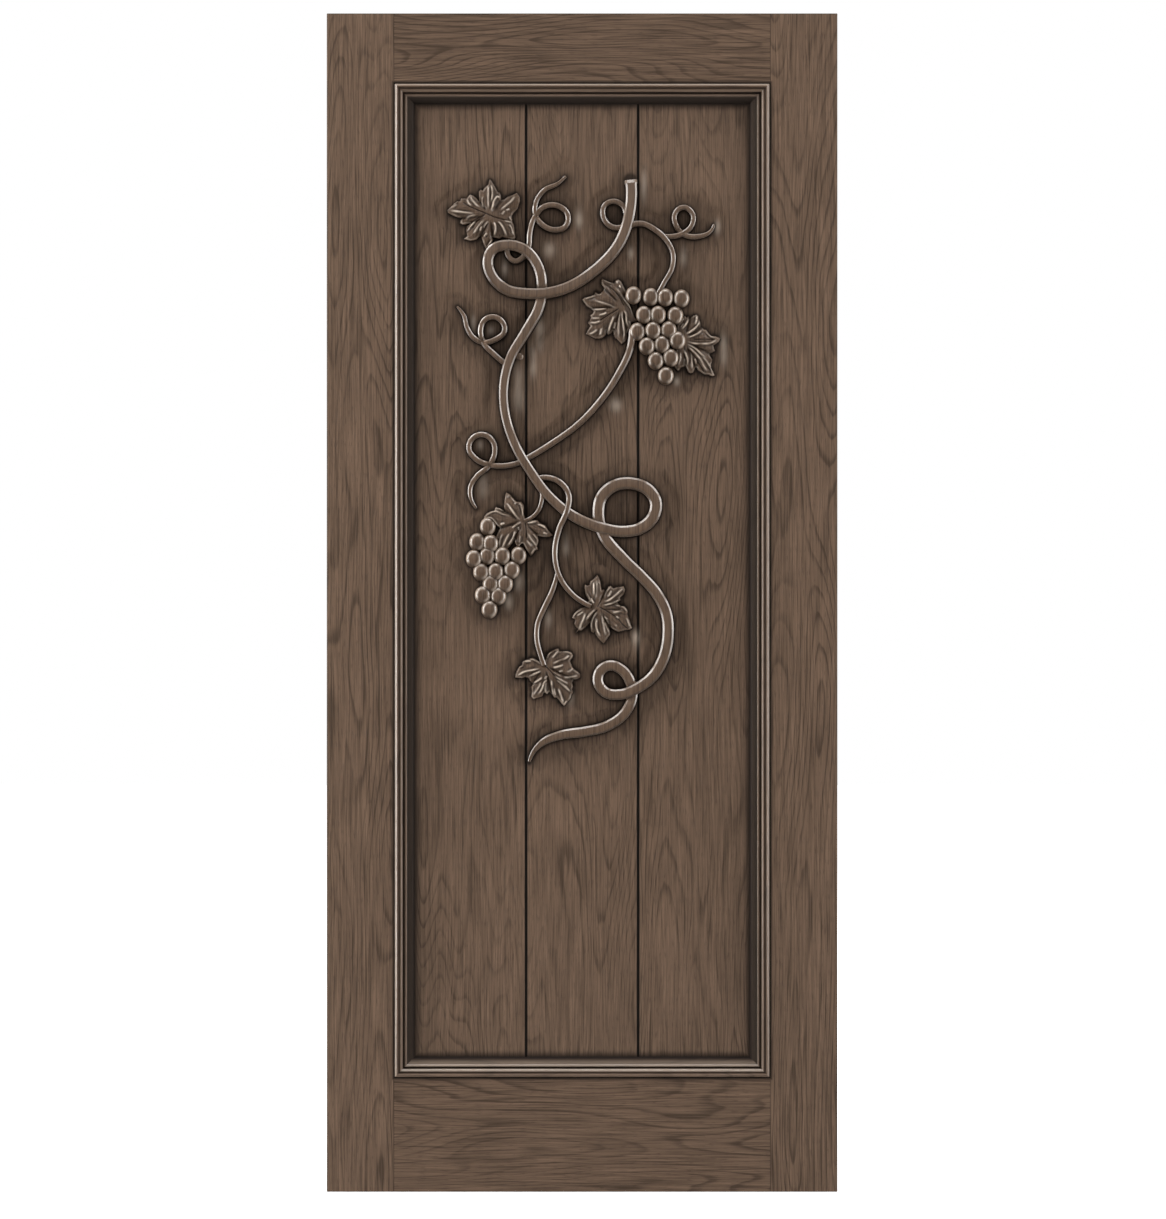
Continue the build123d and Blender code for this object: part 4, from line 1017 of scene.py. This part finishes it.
def plank_board(node, left, right, left_seam, right_seam, seed):
    """A plank as rings round its section, from its foot up.

    The front sinks towards the carving by a smooth step of the distance to it, moved and weakened by seeded
    waves, and its arrises at a seam are chamfered. It carries painted shade round the carving and painted
    highlights at the given spots.
    """
    columns = np.linspace(left, right, int((right - left) / GRID_PITCH) + 1)
    columns = np.insert(columns, [1, len(columns) - 1], [left + SEAM_CHAMFER, right - SEAM_CHAMFER])
    columns = np.unique(columns)
    carved_low = CUT_END + VINE_TAIL[-1] * MM - CARVED_MARGIN
    carved_high = CUT_END + CARVED_MARGIN
    rows = np.concatenate([
        np.arange(PLANK_LOW, carved_low, PLAIN_PITCH),
        np.arange(carved_low, carved_high, GRID_PITCH),
        np.linspace(carved_high, PLANK_HIGH, 12),
    ])
    x, z = np.meshgrid(columns, rows)
    away = distance_to_carving(x, z)
    moved = away + FLANK_WANDER * wander(x, z, 0.11, 5)
    depth = GROUND_SINK * (0.75 + 0.25 * wander(x, z, 0.16, 6))
    sink = depth * (1 - smoothstep(FLANK_NEAR, FLANK_FAR, moved)) * (1 - smoothstep(*GROUND_END, away))
    gouge = GOUGE_DEPTH * wander(x * 1.6, z * 0.6, 0.021, 7) * (1 - smoothstep(*GOUGE_END, away))
    chamfer = np.maximum(left_seam * (SEAM_CHAMFER - (x - left)), right_seam * (SEAM_CHAMFER - (right - x)))
    y = PLANK_FRONT + sink + gouge + np.clip(chamfer, 0, None)
    near = np.clip(away, 0, None)
    close, middling, wide = [strength * bell(near, reach) for strength, reach in PAINTED_CARVING_SHADE]
    glaze_and_shade = close + middling + wide * (0.8 + 0.5 * wander(x, z, 0.07, 9))
    across, up = (x - PANEL_MIDDLE) / MM, (z - CUT_END) / MM
    polish_and_highlight = np.zeros_like(x)
    for spot_x, spot_z, half_width, half_height in PAINTED_GROUND_HIGHLIGHTS:
        spot = bell(np.hypot((across - spot_x) / half_width, (up - spot_z) / half_height), 1)
        polish_and_highlight = np.maximum(polish_and_highlight, spot)
    polish_and_highlight = polish_and_highlight * (0.85 + 0.3 * wander(x, z, 0.05, 8))
    back_x = np.array([right, right - SEAM_CHAMFER, left + SEAM_CHAMFER, left])
    back_y = PLANK_BACK - np.array([right_seam, 0, 0, left_seam]) * SEAM_CHAMFER
    front = np.stack([x, y, z], -1)
    back = np.stack(np.broadcast_arrays(back_x[None, :], back_y[None, :], rows[:, None]), -1)
    rings = np.concatenate([front, back], axis=1)
    none = np.zeros(back.shape[:2])
    shell = (rings, np.hstack([glaze_and_shade, none]), np.hstack([polish_and_highlight, none]))
    add_piece(node, "board", [shell], plank_wood(f"{node} wood", seed), sharp_angle=35)


plank_board("plank_left", PLANK_LEFT, LEFT_SEAM, 0, 1, 21)
plank_board("plank_centre", LEFT_SEAM, RIGHT_SEAM, 1, 1, 22)
plank_board("plank_right", RIGHT_SEAM, PLANK_RIGHT, 1, 0, 23)


# Mouldings
def bow(start, end, sagitta, count=9):
    """Points of an arc from start to end that bulges to the left of the way there by the sagitta."""
    start, end = np.array(start, float), np.array(end, float)
    chord = end - start
    half = np.linalg.norm(chord) / 2
    radius = (half**2 + sagitta**2) / (2 * sagitta)
    reach = np.arctan2(half, radius - sagitta)
    left = np.array([-chord[1], chord[0]]) / (2 * half)
    angle = np.linspace(-reach, reach, count)[:, None]
    middle = (start + end) / 2 - left * (radius - sagitta)
    return middle + left * radius * np.cos(angle) + chord / (2 * half) * radius * np.sin(angle)


def moulding_section(outer, inner, cove):
    """The moulding's profile as (inward, out) points with its glaze with painted shade and its polish with
    painted highlight, from the frame to the planks.

    The painted highlight on the outer bead and on the members inside it is scaled, and the cove's painted shade
    is given. Each part is its points, then glazes with painted shade and polishes with painted highlight that are
    spread evenly over them.
    """
    crease = MOULDING_CREASE
    bead_end = crease + BEAD_WIDTH
    hollow_end = bead_end + HOLLOW_WIDTH
    step_end = hollow_end + STEP_WIDTH
    quirk_end = step_end + QUIRK_WIDTH
    small_end = quirk_end + SMALL_BEAD_WIDTH
    ledge = -STEP_DROP - QUIRK_DEPTH
    recess = PLANK_FRONT - FRONT_FACE
    toe = -recess + MOULDING_TOE
    bead_top = crease + 0.6 * MM + (BEAD_RISE - MM) / BEVEL_SLOPE
    step = bow((hollow_end, 0), (step_end, -STEP_DROP), STEP_SAG)
    parts = [
        ([(0, ledge), (0, -crease), (crease, -crease)], (1, 1, 1), (0, 0)),
        ([(crease + 0.4 * MM, 0.8 * MM), (crease + 0.6 * MM, MM)], (0.4, 0), (0.5 * outer, outer)),
        ([(bead_top - 0.2 * MM, BEAD_RISE - 0.2 * MM), (bead_top, BEAD_RISE)], (0, 0), (outer, outer / 2)),
        (bow((bead_top, BEAD_RISE), (bead_end, 0), 0.5 * MM), (0.0, 0.2, 0.6), (0, 0, 0)),
        (bow((hollow_end, 0), (bead_end, 0), HOLLOW_DEPTH)[::-1], (0.7, 0.8, 0.5), (0, 0)),
        (step, (0.35, 0.0, 0.1, 0.5), (0.3 * inner, inner, 0.5 * inner)),
        ([(step_end, -STEP_DROP), (step_end, ledge), (quirk_end, ledge)], (0.9, 0.95), (0, 0)),
        (bow((quirk_end, ledge), (small_end, ledge), SMALL_BEAD_RISE), (0.8, 0.0, 0.0, 0.6), (0, inner, inner)),
        (bow((small_end, ledge), (MOULDING_WIDTH, toe), COVE_SAG), cove, (0.6 * inner, 0, 0)),
        ([(MOULDING_WIDTH, toe), (MOULDING_WIDTH, -recess), (0, -recess)], (1, 1), (0, 0)),
    ]
    shade = []
    for points, *coats in parts:
        spread = np.linspace(0, 1, len(points))
        shade.append([np.interp(spread, np.linspace(0, 1, len(coat)), coat) for coat in coats])
    return np.vstack([part[0] for part in parts]), *np.hstack(shade)


# Painted light on each side's moulding, as the lamps fall on it: the painted highlight on its outer bead and
# inner members, and the painted shade across its cove
PAINTED_LIGHT_BY_SIDE = {
    "left": (1.0, 0.25, (0.95, 0.88, 1.0)),
    "right": (0.5, 0.35, (0.95, 0.82, 1.0)),
    "top": (1.2, 0.2, (0.97, 0.95, 1.0)),
    "bottom": (0.15, 1.4, (0.15, 0.5, 0.97, 1.0)),
}
MOULDING_UPRIGHT = moulding_wood("upright moulding wood", True, 31)
MOULDING_LEVEL = moulding_wood("level moulding wood", False, 32)


def moulding_run(side, face):
    """A mitred length of moulding: its section at both ends, each point cut short by how far in it lies."""
    outline, glaze_and_shade, polish_and_highlight = moulding_section(*PAINTED_LIGHT_BY_SIDE[side])
    inward, out = outline.T
    across, up = (OPENING_LEFT, OPENING_RIGHT), (OPENING_BOTTOM, OPENING_TOP)
    upright = side in ("left", "right")
    (low, high), edges = (up, across) if upright else (across, up)
    inset = edges[0] + inward if side in ("left", "bottom") else edges[1] - inward
    depth = FRONT_FACE - out if face == "front" else out - FRONT_FACE
    ends = np.stack([low + inward, high - inward])
    inset = np.broadcast_to(inset, ends.shape)
    first, third = (inset, ends) if upright else (ends, inset)
    rings = np.stack([first, np.broadcast_to(depth, ends.shape), third], -1)
    material = MOULDING_UPRIGHT if upright else MOULDING_LEVEL
    add_piece(f"{face}_moulding_{side}", "run", [(rings, glaze_and_shade, polish_and_highlight)], material, 40)


for face in ("front", "back"):
    for side in PAINTED_LIGHT_BY_SIDE:
        moulding_run(side, face)

# Frame boards keep their construction and get their finish: (grain up the door, seed, depth of the stain)
FRAME_BOARDS = {
    "hinge_stile": (True, 41, 0.58),
    "lock_stile": (True, 42, 0.58),
    "top_rail": (False, 43, 0.47),
    "bottom_rail": (False, 44, 0.51),
}
for node, (grain_up, seed, depth) in FRAME_BOARDS.items():
    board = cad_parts[node]
    board.data.materials.clear()
    board.data.materials.append(frame_wood(f"{node.replace('_', ' ')} wood", grain_up, seed, depth))

# Studio: soft boxes at both sides, above, in front and behind, each (place, aim, size, power)
DOOR_MIDDLE = (DOOR_RIGHT / 2, 0, DOOR_TOP / 2)
SOFT_BOXES = {
    "left": ((-2.6, -0.75, 1.15), DOOR_MIDDLE, (0.9, 2.8), 115),
    "upper left": ((-1.9, -0.85, 3.7), DOOR_MIDDLE, (0.9, 2.0), 66),
    "top": ((0.457, -1.7, 6.8), (0.457, 0, 1.3), (3.4, 1.2), 150),
    "upper right": ((2.9, -0.85, 3.7), DOOR_MIDDLE, (0.9, 2.0), 52),
    "right": ((3.5, -0.75, 1.15), DOOR_MIDDLE, (0.9, 2.8), 84),
    "front": ((0.457, -6.5, 3.4), DOOR_MIDDLE, (4.0, 3.0), 34),
    "back": ((0.457, 5.5, 4.2), DOOR_MIDDLE, (4.0, 3.0), 110),
}
for name, (place, aim, size, power) in SOFT_BOXES.items():
    light = bpy.data.lights.new(f"{name} soft box", "AREA")
    light.shape = "RECTANGLE"
    light.size, light.size_y = size
    light.energy = power
    lamp = bpy.data.objects.new(f"{name} soft box", light)
    lamp.location = place
    lamp.rotation_euler = Vector(np.subtract(aim, place)).to_track_quat("-Z", "Y").to_euler()
    bpy.context.collection.objects.link(lamp)

# Pale floor
FLOOR_REACH = 14.0
mesh = bpy.data.meshes.new("studio floor")
corner_ways = np.array([(-1, -1, 0), (1, -1, 0), (1, 1, 0), (-1, 1, 0)])
mesh.from_pydata((corner_ways * FLOOR_REACH).tolist(), [], [(0, 1, 2, 3)])
floor = bpy.data.objects.new("studio floor", mesh)
bpy.context.collection.objects.link(floor)
pale = Finish("pale floor", Roughness=0.9, Base_Color=(0.8, 0.8, 0.79, 1), Emission_Strength=1.0)
x, y, z = pale.places()
distance = ((x - DOOR_RIGHT / 2) ** 2 + y**2) ** 0.5
seen = pale.node("ShaderNodeLightPath", output="Is Camera Ray")
glow = pale.blend((0, 0, 0, 1), (1, 1, 1, 1), seen * (0.58 + distance.ramp(0.6, 4.0) * 0.42))
pale.feed(Emission_Color=glow)
mesh.materials.append(pale.material)


class Surround(Finish):
    """The light round the door: white where it is seen, reflected or looked through, and dimmer as a light."""

    def __init__(self, ambient):
        world = bpy.data.worlds.new("studio")
        bpy.context.scene.world = world
        world.use_nodes = True
        self.tree = world.node_tree
        rays = self.node("ShaderNodeLightPath", output="Is Camera Ray")
        for kind in ("Is Glossy Ray", "Is Transmission Ray"):
            rays = rays.most(self.node("ShaderNodeLightPath", output=kind))
        background = self.tree.nodes["Background"]
        background.inputs["Color"].default_value = (1, 1, 1, 1)
        self.tree.links.new((ambient + rays * (1 - ambient)).socket, background.inputs["Strength"])


Surround(ambient=0.13)

# Camera: level, square to the door, from far off
CAMERA_ACROSS = 0.4586
CAMERA_DISTANCE = 6.06
CAMERA_UP = 1.0423
camera = bpy.data.objects.new("camera", bpy.data.cameras.new("camera"))
camera.location = (CAMERA_ACROSS, FRONT_FACE - CAMERA_DISTANCE, CAMERA_UP)
camera.rotation_euler = (pi / 2, 0, 0)
camera.data.lens = 100
camera.data.sensor_width = 36
camera.data.clip_end = 100
bpy.context.collection.objects.link(camera)
bpy.context.scene.camera = camera
bpy.context.scene.view_settings.view_transform = "Standard"
